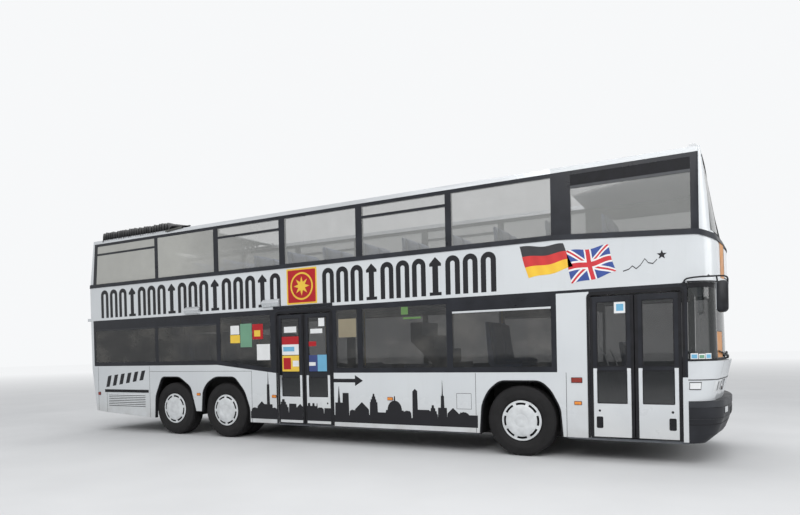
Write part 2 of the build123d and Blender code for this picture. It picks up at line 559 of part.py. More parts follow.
# Cab: raised floor, dashboard with column and wheel, partition
CAB_X0 = 800.0
DASH_X = 2060.0
cab_step = block(CAB_X0, SIDE_END_X, 120, INSIDE, FLOOR_TOP, CAB_FLOOR)
dash_outline = [
    (DASH_X, CAB_FLOOR), (DASH_X + 80, 1150), (DASH_X + 100, 1290), (DASH_X + 330, 1290),
    (DASH_X + 330, 700), (DASH_X + 200, CAB_FLOOR),
]
dashboard = side_prism(dash_outline, -520, HALF_WIDTH - 170)
dashboard = dashboard & block(0, SIDE_END_X + 170, -FAR, FAR, 0, FAR)
WHEEL_AT = Vector(DASH_X - 60, driver_y, 1330.0)
WHEEL_TILT = 25.0
column_foot = Vector(DASH_X + 110, driver_y, 1180.0)
wheel_plane = Plane(origin=WHEEL_AT, z_dir=(column_foot - WHEEL_AT).normalized())
dashboard += wheel_plane * Torus(225, 14)
dashboard += wheel_plane * Box(440, 36, 14)
dashboard += rod(WHEEL_AT, column_foot, 34)
PARTITION_X = (740.0, 775.0)
partition = block(PARTITION_X[0], PARTITION_X[1], 60, INSIDE, FLOOR_TOP, UPPER_FLOOR_BOTTOM)
partition -= block(PARTITION_X[0] - 5, PARTITION_X[1] + 5, 140, INSIDE - 80, 1250, 2100)
partition_parts = [partition, cab_step]

# Handrails
POLE_R = 16.0
rails = []
AISLE_HALF = SEAT_OUTER - SEAT_WIDTH
DOOR_POLE_Y = AISLE_HALF + 20
PODIUM_POLE_Y = AISLE_HALF - 40
# Columns: x, y, foot, head
POLES = [
    (-3100.0, -DOOR_POLE_Y, FLOOR_TOP, UPPER_FLOOR_BOTTOM),
    (-4390.0, -DOOR_POLE_Y, FLOOR_TOP, UPPER_FLOOR_BOTTOM),
    (-4390.0, DOOR_POLE_Y, FLOOR_TOP, UPPER_FLOOR_BOTTOM),
    (800.0, -DOOR_POLE_Y, FLOOR_TOP, UPPER_FLOOR_BOTTOM),
    (-800.0, AISLE_HALF + 120, FLOOR_TOP, UPPER_FLOOR_BOTTOM),
    (-6050.0, PODIUM_POLE_Y, PODIUM_TOP, UPPER_FLOOR_BOTTOM),
    (-6050.0, -PODIUM_POLE_Y, PODIUM_TOP, UPPER_FLOOR_BOTTOM),
]
for x, y, z0, z1 in POLES:
    rails.append(Pos(x, y, (z0 + z1) / 2) * Cylinder(POLE_R, z1 - z0))
GUARD_Z = 3200.0
guard_y = STAIR_Y[0] - 40.0
guard_ends = (WELL[0] + 60, WELL[1] - 60)
guard = FilletPolyline((guard_ends[0], guard_y, UPPER_FLOOR_TOP), (guard_ends[0], guard_y, GUARD_Z),
                       (guard_ends[1], guard_y, GUARD_Z), (guard_ends[1], guard_y, UPPER_FLOOR_TOP), radius=90)
rails.append(sweep(Plane(origin=guard @ 0, z_dir=guard % 0) * Circle(POLE_R), path=guard))

# Underframe, engine, axles
RAIL_Y = HALF_WIDTH - 850
RAIL_HALF = 40.0
RAIL_Z = (200.0, FLOOR_TOP - FLOOR_THICK)
TOW_FACE_X = 2100.0
TOW_Z = 240.0
TOW_R = 20.0
MEMBER_HALF = 30.0


def ladder(x0, x1, members):
    """Two rails along the bus, joined by cross members."""
    made = block(x0, x1, RAIL_Y - RAIL_HALF, RAIL_Y + RAIL_HALF, RAIL_Z[0], RAIL_Z[1])
    made += block(x0, x1, -RAIL_Y - RAIL_HALF, RAIL_HALF - RAIL_Y, RAIL_Z[0], RAIL_Z[1])
    for x in members:
        made += block(x - MEMBER_HALF, x + MEMBER_HALF, -RAIL_Y, RAIL_Y, RAIL_Z[0], RAIL_Z[1])
    return made


middle_ladder = ladder(-4700.0, -120.0, (-4600.0, -3400.0, -2200.0, -1000.0, -150.0))
front_ladder = ladder(120.0, TOW_FACE_X, (150.0, 900.0, TOW_FACE_X - MEMBER_HALF))
front_ladder -= Pos(TOW_FACE_X - MEMBER_HALF, 0, TOW_Z) * Rot(0, 90, 0) * Cylinder(TOW_R, 100)
under = [middle_ladder, front_ladder]
engine = block(200 - REAR_REACH, -7800, -450, 450, 430, TAIL_FLOOR_TOP - FLOOR_THICK)

TYRE_R = 504.0
TYRE_W = 292.0
WHEEL_Z = TYRE_R
RIM_R = 286.0
WHEEL_Y = HALF_WIDTH - 175
TWIN_PITCH = 335.0
KING_Y = WHEEL_Y - 145
KING_R = 22.0
KNUCKLE_GAP = 0.5


def tyre():
    """Tyre about its own centre, its axis along Y."""
    half = TYRE_W / 2
    profile = [
        (RIM_R, 35 - half), (RIM_R + 60, 4 - half), (TYRE_R - 110, -half), (TYRE_R - 30, 22 - half),
        (TYRE_R, 50 - half), (TYRE_R, half - 50), (TYRE_R - 30, half - 22), (TYRE_R - 110, half),
        (RIM_R + 60, half - 4), (RIM_R, half - 35),
    ]
    return revolve(Polygon(*profile, align=None), axis=Axis.Y)


RIM_WALL = 12.0
RIM_INSET = 34.0
TRIM_R = 270.0
SLOTS = 10
SLOT_R = 228.0
BORE_R = 60.0
BEAD_GAP = 0.3


def rim(dish):
    """Rim barrel with its disc and slotted trim on the outer side, +Y, and the hub bore."""
    half = TYRE_W / 2 - RIM_INSET
    seat_r = RIM_R - BEAD_GAP
    well_r = RIM_R - RIM_WALL
    barrel = Polygon((seat_r, -half), (seat_r, half), (RIM_R + 14, half + 14), (RIM_R + 14, half + 22),
                     (well_r, half + 10), (well_r, -half), align=None)
    disc = Polygon((BORE_R, dish), (BORE_R, dish + 60), (150, dish + 50), (190, half - 8),
                   (well_r + 1, half - 2), (well_r + 1, half - 16), (200, half - 22), (160, dish + 20),
                   (150, dish), align=None)
    wheel = revolve(barrel, axis=Axis.Y) + revolve(disc, axis=Axis.Y)
    for n in range(SLOTS):
        turn = Rot(0, n * 360 / SLOTS, 0)
        wheel -= turn * Pos(SLOT_R, half - 10, 0) * Rot(90, 0, 0) * Cylinder(19, 80)
    cap = Pos(0, dish + 45, 0) * Rot(90, 0, 0) * Cylinder(BORE_R + 1, 50)
    return wheel + cap


DISC_DISH = 20.0
plain_tyre = tyre()
plain_rim = rim(DISC_DISH)
mirror_rim = mirror(plain_rim, about=Plane.XZ)
WHEELS = [("front", 0.0), ("drive", DRIVE_AXLE_X), ("tag", TAG_AXLE_X)]
nodes = {}
for name, x in WHEELS:
    for side_name, side in (("left", 1), ("right", -1)):
        at = Pos(x, side * WHEEL_Y, WHEEL_Z)
        tyres = [at * plain_tyre]
        rims = [at * (plain_rim if side > 0 else mirror_rim)]
        if name == "drive":
            inner = Pos(x, side * (WHEEL_Y - TWIN_PITCH), WHEEL_Z)
            tyres.append(inner * plain_tyre)
            half = TYRE_W / 2 - RIM_INSET
            seat_r = RIM_R - BEAD_GAP
            well_r = RIM_R - RIM_WALL
            sleeve_end = TWIN_PITCH + 40
            ring = Polygon((seat_r, -half), (seat_r, half), (well_r, half), (well_r, -half), align=None)
            link = Polygon((BORE_R, -20), (BORE_R, 0), (well_r + 1, 0), (well_r + 1, -20), align=None)
            tube = Polygon((BORE_R, -10), (BORE_R + 20, -10), (BORE_R + 20, sleeve_end), (BORE_R, sleeve_end),
                           align=None)
            twin = revolve(ring, axis=Axis.Y) + revolve(link, axis=Axis.Y) + revolve(tube, axis=Axis.Y)
            if side < 0:
                twin = mirror(twin, about=Plane.XZ)
            rims = [rims[0] + inner * twin]
        nodes["tyre_" + name + "_" + side_name] = tyres
        nodes["rim_" + name + "_" + side_name] = rims

# Axles: the front beam drops under the floor, the rear ones are straight with their hub spindles
SPINDLE_R = BORE_R - 0.3
beam_half = 45.0
BEAM_SHOULDER_Z = 570.0
beam_end = KING_Y - 52
drop_y = FRONT_HOUSING_Y + 80
shoulder_y = FRONT_HOUSING_Y + 170
knee_y = FRONT_HOUSING_Y + 260
outline = [
    (-beam_end, 440), (-beam_end, BEAM_SHOULDER_Z), (-shoulder_y, BEAM_SHOULDER_Z), (-drop_y, 275),
    (drop_y, 275), (shoulder_y, BEAM_SHOULDER_Z), (beam_end, BEAM_SHOULDER_Z), (beam_end, 440),
    (knee_y, 440), (shoulder_y, 195), (-shoulder_y, 195), (-knee_y, 440),
]
beam_face = Plane.YZ.offset(-beam_half) * Polygon(*outline, align=None)
front_beam = extrude(beam_face, amount=2 * beam_half, dir=(1, 0, 0))
EYE_R = 55.0
EYE_HALF = 80.0
for s in (1, -1):
    eye = Pos(0, s * KING_Y, WHEEL_Z) * Cylinder(EYE_R, 2 * EYE_HALF)
    front_beam += eye
for s in (1, -1):
    front_beam -= Pos(0, s * KING_Y, WHEEL_Z) * Cylinder(KING_R + KNUCKLE_GAP, 400)
SPRING_R = 55.0
SPRING_Y = FRONT_HOUSING_Y + 230
front_springs = []
for s in (1, -1):
    front_springs.append(Pos(0, s * SPRING_Y, (BEAM_SHOULDER_Z + FRONT_HOUSING_Z) / 2)
                         * Cylinder(SPRING_R, FRONT_HOUSING_Z - BEAM_SHOULDER_Z))
for spring in front_springs:
    front_beam += spring
axles = [front_beam]
REAR_BEAM_Z = (320.0, 440.0)
HUB_WALL_Y = (REAR_HOUSING_Y + 10, REAR_HOUSING_Y + 48)
REAR_SPRING_R = 90.0
SPINDLE_END = DISC_DISH + 18.0
podium_bottom = PODIUM_TOP - FLOOR_THICK
for x in (DRIVE_AXLE_X, TAG_AXLE_X):
    bar = block(x - 75, x + 75, -HUB_WALL_Y[1], HUB_WALL_Y[1], REAR_BEAM_Z[0], REAR_BEAM_Z[1])
    for s in (1, -1):
        y0, y1 = sorted((s * HUB_WALL_Y[0], s * HUB_WALL_Y[1]))
        bar += block(x - 75, x + 75, y0, y1, REAR_BEAM_Z[0], WHEEL_Z + 60)
        length = WHEEL_Y + SPINDLE_END - HUB_WALL_Y[0]
        bar += Pos(x, s * (HUB_WALL_Y[0] + length / 2), WHEEL_Z) * Rot(90, 0, 0) * Cylinder(SPINDLE_R, length)
        spring_z = (REAR_BEAM_Z[1] + podium_bottom) / 2
        bar += Pos(x, s * 330, spring_z) * Cylinder(REAR_SPRING_R, podium_bottom - REAR_BEAM_Z[1])
    axles.append(bar)

# Steering knuckles: fork round the axle's eye, king pin, and the spindle in the hub
EAR = 26.0


def knuckle(s):
    """Steering knuckle on the left for s = 1, on the right for s = -1."""
    piece = Pos(0, s * KING_Y, WHEEL_Z) * Cylinder(KING_R, 2 * (EYE_HALF + 1 + EAR))
    for up in (1, -1):
        ear_z = WHEEL_Z + up * (EYE_HALF + 1 + EAR / 2)
        piece += Pos(0, s * KING_Y, ear_z) * Cylinder(50, EAR)
        piece += Pos(0, s * (KING_Y + 42), ear_z) * Box(100, 84, EAR)
    back = Pos(0, s * (KING_Y + 72), WHEEL_Z) * Box(100, 26, 2 * (EYE_HALF + 1 + EAR))
    piece += back
    length = WHEEL_Y + SPINDLE_END - KING_Y - 72
    spindle = Pos(0, s * (KING_Y + 72 + length / 2), WHEEL_Z) * Rot(90, 0, 0) * Cylinder(SPINDLE_R, length)
    return piece + spindle


nodes["knuckle_left"] = [knuckle(1)]
nodes["knuckle_right"] = [knuckle(-1)]

# Doors: each leaf hangs at its middle on two arms of a turning post, and swings inwards
LEAF = 40.0
LEAF_FACE_Y = -HALF_WIDTH + 2
LEAF_TOP = 2190.0
LEAF_BOTTOM = 334.0
DOOR_EDGE_GAP = 6.0
DOOR_CENTRE_GAP = 12.0
POST_R = 20.0
POST_IN = 80.0
ARM_LENGTH = 270.0
TRAILING = 236.0
ARM_TOP_Z = (2200.0, 2214.0)
ARM_LOW_Z = (316.0, 328.0)
PIVOT_R = 8.0
leaf_y = LEAF_FACE_Y + LEAF / 2
post_y = -HALF_WIDTH + POST_IN
arm_reach = math.sqrt(ARM_LENGTH ** 2 - (post_y - leaf_y) ** 2)
DOOR_POST_X = DOOR_EDGE_GAP + TRAILING - arm_reach


def leaf_and_arm(edge, centre, toward, glass_low, glass_high):
    """Leaf with two panes, and the post with its arms, near edge. Toward is the closing way."""
    post_x = edge + toward * DOOR_POST_X
    pivot_x = post_x + toward * arm_reach
    x_trail = edge + toward * DOOR_EDGE_GAP
    x_lead = centre - toward * DOOR_CENTRE_GAP / 2
    lo, hi = min(x_trail, x_lead), max(x_trail, x_lead)
    nose_x = x_lead - toward * LEAF / 2
    flat_ends = sorted((x_trail, nose_x))
    leaf = block(*flat_ends, leaf_y - LEAF / 2, leaf_y + LEAF / 2, LEAF_BOTTOM, LEAF_TOP)
    leaf += Pos(nose_x, leaf_y, (LEAF_BOTTOM + LEAF_TOP) / 2) * Cylinder(LEAF / 2, LEAF_TOP - LEAF_BOTTOM)
    glass_lo, glass_hi = lo + 88.0, hi - 88.0
    panes = []
    for z0, z1 in (glass_low, glass_high):
        leaf -= block(glass_lo, glass_hi, -FAR, 0, z0, z1)
        panes.append(block(glass_lo, glass_hi, LEAF_FACE_Y + 4, LEAF_FACE_Y + 10, z0, z1))
    for z0, z1 in ((LEAF_TOP, ARM_TOP_Z[1]), (ARM_LOW_Z[0] + 1, LEAF_BOTTOM)):
        leaf += Pos(pivot_x, leaf_y, (z0 + z1) / 2) * Cylinder(PIVOT_R, z1 - z0)
    leaf = leaf + panes[0] + panes[1]
    post_z = (FLOOR_TOP + 0.3, GEAR_BOTTOM - 0.3)
    arm = Pos(post_x, post_y, sum(post_z) / 2) * Cylinder(POST_R, post_z[1] - post_z[0])
    start = Vector(post_x, post_y, 0)
    along = Vector(pivot_x, leaf_y, 0) - start
    angle = math.degrees(math.atan2(along.Y, along.X))
    for z0, z1 in (ARM_TOP_Z, ARM_LOW_Z):
        mid = start + along * 0.5
        bar = Pos(mid.X, mid.Y, (z0 + z1) / 2) * Rot(0, 0, angle) * Box(ARM_LENGTH, 26, z1 - z0)
        bar += Pos(pivot_x, leaf_y, (z0 + z1) / 2) * Cylinder(17, z1 - z0)
        bar -= Pos(pivot_x, leaf_y, (z0 + z1) / 2) * Cylinder(PIVOT_R + 0.3, 60)
        arm += bar
    return leaf, arm


# Columns: door, opening, low glass, high glass
DOORS = [
    ("front", FRONT_DOOR, (776.0, 1212.0), (1262.0, 2118.0)),
    ("mid", MID_DOOR, (784.0, 1115.0), (1205.0, 2130.0)),
]
for name, (x0, x1), low, high in DOORS:
    centre = (x0 + x1) / 2
    leaf, arm = leaf_and_arm(x0, centre, 1, low, high)
    nodes["door_" + name + "_rear_leaf"] = [leaf]
    nodes["door_" + name + "_rear_arms"] = [arm]
    leaf, arm = leaf_and_arm(x1, centre, -1, low, high)
    nodes["door_" + name + "_fore_leaf"] = [leaf]
    nodes["door_" + name + "_fore_arms"] = [arm]

# Mirrors: bent tube from the front corner, head hanging at its end, the left one shorter
MIRROR_Y = HALF_WIDTH + 85.0
MIRROR_TUBE_R = 14.0
MIRROR_TOP = 2325.0
mirrors = []
for s, head_z0 in ((1, 2075.0), (-1, 1935.0)):
    y0, y1 = sorted((s * HALF_WIDTH, s * (HALF_WIDTH + 16)))
    foot = block(2090, 2144, y0, y1, 2340, 2392)
    path = FilletPolyline((2117, s * (HALF_WIDTH + 15), 2366), (2300, s * MIRROR_Y, 2375),
                          (2560, s * MIRROR_Y, 2360), (2560, s * MIRROR_Y, 2290), radius=40)
    tube = sweep(Plane(origin=path @ 0, z_dir=path % 0) * Circle(MIRROR_TUBE_R), path=path)
    head = block(2490, 2600, s * MIRROR_Y - 95, s * MIRROR_Y + 95, head_z0, MIRROR_TOP)
    head = fillet(head.edges().filter_by(Axis.Z), 40)
    mirrors.append(foot + tube + head)

# Lamps
lamps = []
for s in (1, -1):
    y0, y1 = sorted((s * (HALF_WIDTH - 690), s * (HALF_WIDTH - 170)))
    hole = block(2300, FAR, y0, y1, 930, 1075)
    lamp = envelope(panel_rows, 2.0) - envelope(panel_rows, 45.0)
    lamps.append(lamp & hole)
    front_panel -= hole
    y0, y1 = sorted((s * (HALF_WIDTH - 345), s * (HALF_WIDTH - 110)))
    hole = block(-FAR * 3, SKIRT_REAR_X, y0, y1, 900, 1310)
    lamps.append((tail(0.0, SIDE_END_X) - tail(40.0, SIDE_END_X + 200)) & hole)
    rear_lower -= hole

nodes["underframe"] = under
nodes["lower_floor"] = lower_floor
nodes["skirts"] = skirts
nodes["lower_frames"] = lower_frames
nodes["rear_wall_lower"] = [rear_lower]
nodes["rear_wall_upper"] = [rear_upper]
nodes["engine_flap"] = [engine_flap]
nodes["front_panel"] = [front_panel]
nodes["front_bumper"] = [front_bumper]
nodes["front_band"] = [front_band]
nodes["front_roof"] = [front_roof]
nodes["upper_floor"] = [upper_floor]
nodes["upper_bands"] = upper_bands
nodes["upper_frames"] = upper_frames
nodes["belt_mouldings"] = [belt_mouldings]
nodes["roof_rails"] = [roof_rails]
nodes["folded_roof"] = [folded_roof]
nodes["side_glass"] = side_glass
nodes["windscreens"] = windscreens
nodes["rear_panes"] = rear_panes
nodes["stairs"] = [stairs]
nodes["lower_seats"] = lower_seats
nodes["upper_seats"] = upper_seats
nodes["dashboard"] = [dashboard]
nodes["partition"] = partition_parts
nodes["handrails"] = rails
nodes["engine"] = [engine]
nodes["axles"] = axles
nodes["mirrors"] = mirrors
nodes["lamps"] = lamps

# The length of the box is centred on the frame
centre_x = (FRONT_REACH - REAR_REACH - LEDGE_REACH) / 2
for name, shapes in nodes.items():
    solids = [solid for shape in shapes for solid in shape.solids()]
    placed = Pos(-centre_x, 0, 0) * Compound(children=solids)
    export_step(placed, "parts/" + name + ".step")
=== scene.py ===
"""Looks of an open top double decker bus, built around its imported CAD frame. Metres, +X forward, +Z up."""
import math
import random

import bpy
import bmesh
from mathutils import Matrix, Vector, noise


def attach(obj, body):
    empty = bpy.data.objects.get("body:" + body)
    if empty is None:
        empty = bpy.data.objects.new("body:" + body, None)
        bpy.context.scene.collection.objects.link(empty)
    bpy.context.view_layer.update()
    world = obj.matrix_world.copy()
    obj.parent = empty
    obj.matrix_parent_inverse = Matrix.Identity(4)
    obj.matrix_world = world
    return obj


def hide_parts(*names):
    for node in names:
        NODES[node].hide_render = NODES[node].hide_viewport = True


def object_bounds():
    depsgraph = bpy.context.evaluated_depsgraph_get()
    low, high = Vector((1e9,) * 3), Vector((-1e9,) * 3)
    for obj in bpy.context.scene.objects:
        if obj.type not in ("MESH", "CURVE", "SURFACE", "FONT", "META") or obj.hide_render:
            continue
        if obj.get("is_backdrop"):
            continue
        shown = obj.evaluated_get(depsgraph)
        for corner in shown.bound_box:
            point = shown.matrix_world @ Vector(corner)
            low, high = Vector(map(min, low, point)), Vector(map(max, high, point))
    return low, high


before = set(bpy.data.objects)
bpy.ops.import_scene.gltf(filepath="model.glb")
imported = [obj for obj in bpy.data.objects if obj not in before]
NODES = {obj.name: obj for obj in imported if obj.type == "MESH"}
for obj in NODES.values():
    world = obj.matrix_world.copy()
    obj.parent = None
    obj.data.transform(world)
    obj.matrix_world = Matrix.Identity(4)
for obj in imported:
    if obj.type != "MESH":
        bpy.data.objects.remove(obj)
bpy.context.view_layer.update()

# Measures along the bus are taken from the front axle, which lies this far ahead of the frame's origin
FRONT_AXLE_X = 3.445
BOTH = (-1, 1)

# Finishes
SOCKETS = {"coat": "Coat Weight", "coat_rough": "Coat Roughness", "spec": "Specular IOR Level", "ior": "IOR",
           "metal": "Metallic", "sheen": "Sheen Weight", "sheen_rough": "Sheen Roughness", "rough": "Roughness"}


class Finish:
    """One material: a principled shader with constants on its own sockets, and a few short node recipes."""

    def __init__(self, name, constants):
        self.material = bpy.data.materials.new(name)
        self.material.use_nodes = True
        self.tree = self.material.node_tree
        self.shader = self.tree.nodes["Principled BSDF"]
        for word, value in constants.items():
            self.shader.inputs[SOCKETS[word]].default_value = value
        self.place = self.add("TexCoord", {}).outputs["Object"]

    def add(self, kind, inputs, **options):
        node = self.tree.nodes.new("ShaderNode" + kind)
        for option, value in options.items():
            setattr(node, option, value)
        for key, value in inputs.items():
            socket = node.inputs[key]
            if isinstance(value, bpy.types.NodeSocket):
                self.tree.links.new(value, socket)
            else:
                socket.default_value = (*value, 1.0) if socket.type == "RGBA" else value
        return node

    def set(self, socket, source):
        self.tree.links.new(source, self.shader.inputs[socket])
        return self

    def stretched(self, scale):
        return self.add("Mapping", {"Vector": self.place, "Scale": scale}).outputs["Vector"] if scale else self.place

    def noise(self, scale, detail=3.0, rough=0.5, stretch=None):
        inputs = {"Vector": self.stretched(stretch), "Scale": scale, "Detail": detail, "Roughness": rough}
        return self.add("TexNoise", inputs).outputs["Fac"]

    def cells(self, scale, stretch=None):
        return self.add("TexVoronoi", {"Vector": self.stretched(stretch), "Scale": scale}).outputs["Distance"]

    def waves(self, scale, direction):
        return self.add("TexWave", {"Vector": self.place, "Scale": scale}, bands_direction=direction).outputs["Fac"]

    def axis(self, name):
        return self.add("SeparateXYZ", {"Vector": self.place}).outputs[name]

    def math(self, operation, a, b=0.0, clamp=False):
        return self.add("Math", {0: a, 1: b}, operation=operation, use_clamp=clamp).outputs[0]

    def times(self, a, b):
        return self.math("MULTIPLY", a, b)

    def span(self, source, low, high, to_low=0.0, to_high=1.0):
        inputs = {"Value": source, "From Min": low, "From Max": high, "To Min": to_low, "To Max": to_high}
        return self.add("MapRange", inputs, clamp=True).outputs["Result"]

    def ramp(self, source, dark, pale, low=0.3, high=0.7, ease="LINEAR"):
        """Colour from dark to pale while the source goes from low to high."""
        node = self.add("ValToRGB", {"Fac": source})
        node.color_ramp.interpolation = ease
        for point, position, color in zip(node.color_ramp.elements, (low, high), (dark, pale)):
            point.position = position
            point.color = (*color, 1.0)
        return node.outputs["Color"]

    def tone(self, scale, dark, pale, detail=3.0):
        return self.ramp(self.noise(scale, detail), dark, pale)

    def rough(self, scale, low, high, detail=3.0):
        return self.set("Roughness", self.span(self.noise(scale, detail), 0.3, 0.7, low, high))

    def mix(self, amount, a, b, blend="MIX"):
        return self.add("Mix", {0: amount, 6: a, 7: b}, data_type="RGBA", blend_type=blend).outputs[2]

    def bump(self, height, strength, distance):
        node = self.add("Bump", {"Height": height, "Strength": strength, "Distance": distance})
        return self.set("Normal", node.outputs["Normal"])


FINISHES = {}


def finish(name, **constants):
    """Makes the material of that name with the recipe that it is given."""

    def make(recipe):
        made = Finish(name, constants)
        recipe(made)
        FINISHES[name] = made.material
        return recipe

    return make


def speckled(color, low, high, scale, rough, bump=(0.2, 0.001), detail=4.0, stretch=None):
    """Recipe of a colour that drifts between two shades, with matching roughness and fine grain."""

    def recipe(f):
        field = f.noise(scale, detail, stretch=stretch)
        f.set("Base Color", f.ramp(field, [c * low for c in color], [c * high for c in color]))
        f.set("Roughness", f.span(field, 0.25, 0.75, *rough))
        f.bump(f.noise(scale * 9, 2.0), *bump)

    return recipe


# Name, constants, colour, share of it in dark and in pale places, scale of the grain, roughness, then bump
for name, constants, *grain in (
        ("bumper_plastic", {"spec": 0.22}, (0.019, 0.02, 0.024), 0.75, 1.25, 4.0, (0.4, 0.58)),
        ("moulding_black", {"spec": 0.28}, (0.02, 0.022, 0.028), 0.7, 1.3, 6.0, (0.35, 0.55)),
        ("pale_alloy", {"metal": 0.85}, (0.66, 0.68, 0.7), 0.85, 1.1, 8.0, (0.3, 0.45), (0.2, 0.001), 4.0, (0.1, 1, 1)),
        ("chassis_paint", {}, (0.035, 0.034, 0.034), 0.6, 1.7, 5.0, (0.5, 0.8)),
        ("black_plastic", {"spec": 0.25}, (0.014, 0.015, 0.018), 0.7, 1.4, 9.0, (0.32, 0.5)),
        ("dash_plastic", {}, (0.055, 0.058, 0.064), 0.75, 1.25, 12.0, (0.45, 0.65), (0.4, 0.001)),
        ("yellow_tube", {"coat": 0.3}, (0.72, 0.47, 0.03), 0.9, 1.1, 6.0, (0.25, 0.4)),
        ("engine_cast", {"metal": 0.4}, (0.13, 0.13, 0.12), 0.5, 1.3, 7.0, (0.5, 0.8)),
        ("lamp_red", {"coat": 0.6, "coat_rough": 0.05}, (0.42, 0.02, 0.015), 0.7, 1.2, 30.0, (0.12, 0.25)),
        ("tyre_rubber", {"spec": 0.25}, (0.013, 0.0125, 0.013), 0.7, 1.5, 7.0, (0.6, 0.82)),
        ("wheel_silver", {"metal": 0.35, "coat": 0.3}, (0.66, 0.67, 0.68), 0.78, 1.08, 9.0, (0.25, 0.42)),
        ("seat_shell", {"coat": 0.15}, (0.045, 0.085, 0.22), 0.8, 1.15, 7.0, (0.35, 0.55)),
        ("black_rubber", {"spec": 0.2}, (0.012, 0.012, 0.014), 0.7, 1.6, 9.0, (0.5, 0.75)),
        ("trim_white", {"coat": 0.3, "coat_rough": 0.15}, (0.66, 0.68, 0.69), 0.82, 1.08, 8.0, (0.28, 0.45)),
        ("chrome", {"metal": 0.95}, (0.8, 0.81, 0.83), 0.9, 1.05, 14.0, (0.1, 0.2)),
        ("bumper_lip", {"spec": 0.3}, (0.03, 0.032, 0.037), 0.75, 1.25, 4.0, (0.4, 0.55)),
        ("mirror_glass", {"metal": 1.0}, (0.6, 0.63, 0.66), 0.95, 1.02, 4.0, (0.03, 0.06), (0.02, 0.0002)),
        ("webbing", {"sheen": 0.2}, (0.05, 0.05, 0.055), 0.7, 1.3, 60.0, (0.6, 0.8), (0.4, 0.0006)),
        ("lining_grey", {}, (0.58, 0.59, 0.6), 0.85, 1.1, 5.0, (0.5, 0.7))):
    finish(name, **constants)(speckled(*grain))
for name, color in (("black", (0.009, 0.009, 0.012)), ("gold", (0.8, 0.52, 0.06)), ("red", (0.42, 0.012, 0.018)),
                    ("yellow", (0.83, 0.56, 0.07)), ("blue", (0.045, 0.065, 0.2)), ("green", (0.16, 0.33, 0.22)),
                    ("white", (0.78, 0.79, 0.79)), ("pale_blue", (0.16, 0.42, 0.62)), ("cream", (0.27, 0.235, 0.165)),
                    ("leaf", (0.12, 0.23, 0.08))):
    finish("print_" + name, coat=0.05, spec=0.3)(speckled(color, 0.94, 1.04, 6.0, (0.35, 0.47), (0.05, 0.0004)))


@finish("white_paint", coat=0.35, coat_rough=0.1)
def white_paint(f):
    """Gloss paint with road film low down, streaks below the windows and faint panel waviness."""
    low = f.span(f.axis("Z"), 0.3, 1.15, 1.0, 0.0)
    film = f.times(f.math("POWER", low, 2.2), f.span(f.noise(3.0, 5.0, 0.6), 0.3, 0.7, 0.15, 1.0))
    tone = f.tone(0.9, (0.61, 0.635, 0.655), (0.665, 0.69, 0.705))
    dirty = f.mix(f.times(film, 0.55), tone, (0.36, 0.34, 0.31))
    streak = f.span(f.noise(14.0, 3.0, 0.6, (1.0, 1.0, 0.06)), 0.55, 0.85, 0.0, 0.12)
    f.set("Base Color", f.mix(streak, dirty, (0.5, 0.5, 0.48)))
    f.set("Roughness", f.span(film, 0.0, 0.6, 0.22, 0.55))
    f.bump(f.noise(2.2, 1.0), 0.1, 0.004)


@finish("black_paint", coat=0.05, coat_rough=0.15, spec=0.28)
def black_paint(f):
    """Dark blue black paint with dust and a few rubbed places."""
    field = f.noise(3.0, 5.0, 0.6)
    f.set("Base Color", f.ramp(field, (0.009, 0.01, 0.014), (0.019, 0.021, 0.028), 0.35, 0.75))
    f.set("Roughness", f.span(field, 0.3, 0.7, 0.26, 0.42))
    f.bump(f.noise(30.0, 2.0), 0.05, 0.0006)


@finish("door_paint", coat=0.3, coat_rough=0.12)
def door_paint(f):
    """White paint of the door leaves, dustier towards the foot."""
    film = f.span(f.axis("Z"), 0.3, 0.9, 0.3, 0.0)
    tone = f.tone(2.0, (0.63, 0.655, 0.675), (0.7, 0.72, 0.73), 4.0)
    f.set("Base Color", f.mix(film, tone, (0.4, 0.38, 0.35)))
    f.rough(5.0, 0.25, 0.4)
    f.bump(f.noise(3.0, 1.0), 0.05, 0.002)


@finish("floor_vinyl")
def floor_sheet(f):
    """Vinyl floor with pale flecks, black underneath and on the road side of the wheel housings."""
    flecks = f.span(f.cells(160.0), 0.12, 0.2, 1.0, 0.0)
    vinyl = f.mix(f.times(flecks, 0.5), f.tone(4.0, (0.085, 0.095, 0.11), (0.13, 0.14, 0.155), 5.0), (0.45, 0.47, 0.5))
    outboard = f.math("GREATER_THAN", f.math("ABSOLUTE", f.axis("Y")), 0.507)
    facing = f.add("SeparateXYZ", {"Vector": f.add("NewGeometry", {}).outputs["Normal"]}).outputs["Z"]
    road = f.math("LESS_THAN", facing, -0.5)
    for middle, half, top in ((FRONT_AXLE_X, 0.648, 1.138), (FRONT_AXLE_X - 6.215, 1.29, 1.168)):
        near = f.math("LESS_THAN", f.math("ABSOLUTE", f.math("SUBTRACT", f.axis("X"), middle)), half)
        below = f.math("LESS_THAN", f.axis("Z"), top)
        road = f.math("MAXIMUM", road, f.times(f.times(near, below), outboard))
    f.set("Base Color", f.mix(road, vinyl, f.tone(6.0, (0.012, 0.012, 0.012), (0.028, 0.027, 0.026))))
    f.rough(6.0, 0.45, 0.65)
    f.bump(f.cells(90.0), 0.15, 0.0008)


def upper_deck(f):
    return f.span(f.axis("Z"), 2.5, 2.7)


def glaze(f, color, face, roughest=0.06):
    """Glass that turns more opaque and mirror like at grazing angles."""
    f.set("Base Color", color)
    edge = f.add("LayerWeight", {"Blend": 0.25}).outputs["Fresnel"]
    f.set("Alpha", f.math("ADD", face, f.times(edge, 0.5), clamp=True))
    f.rough(4.0, 0.02, roughest, 4.0)


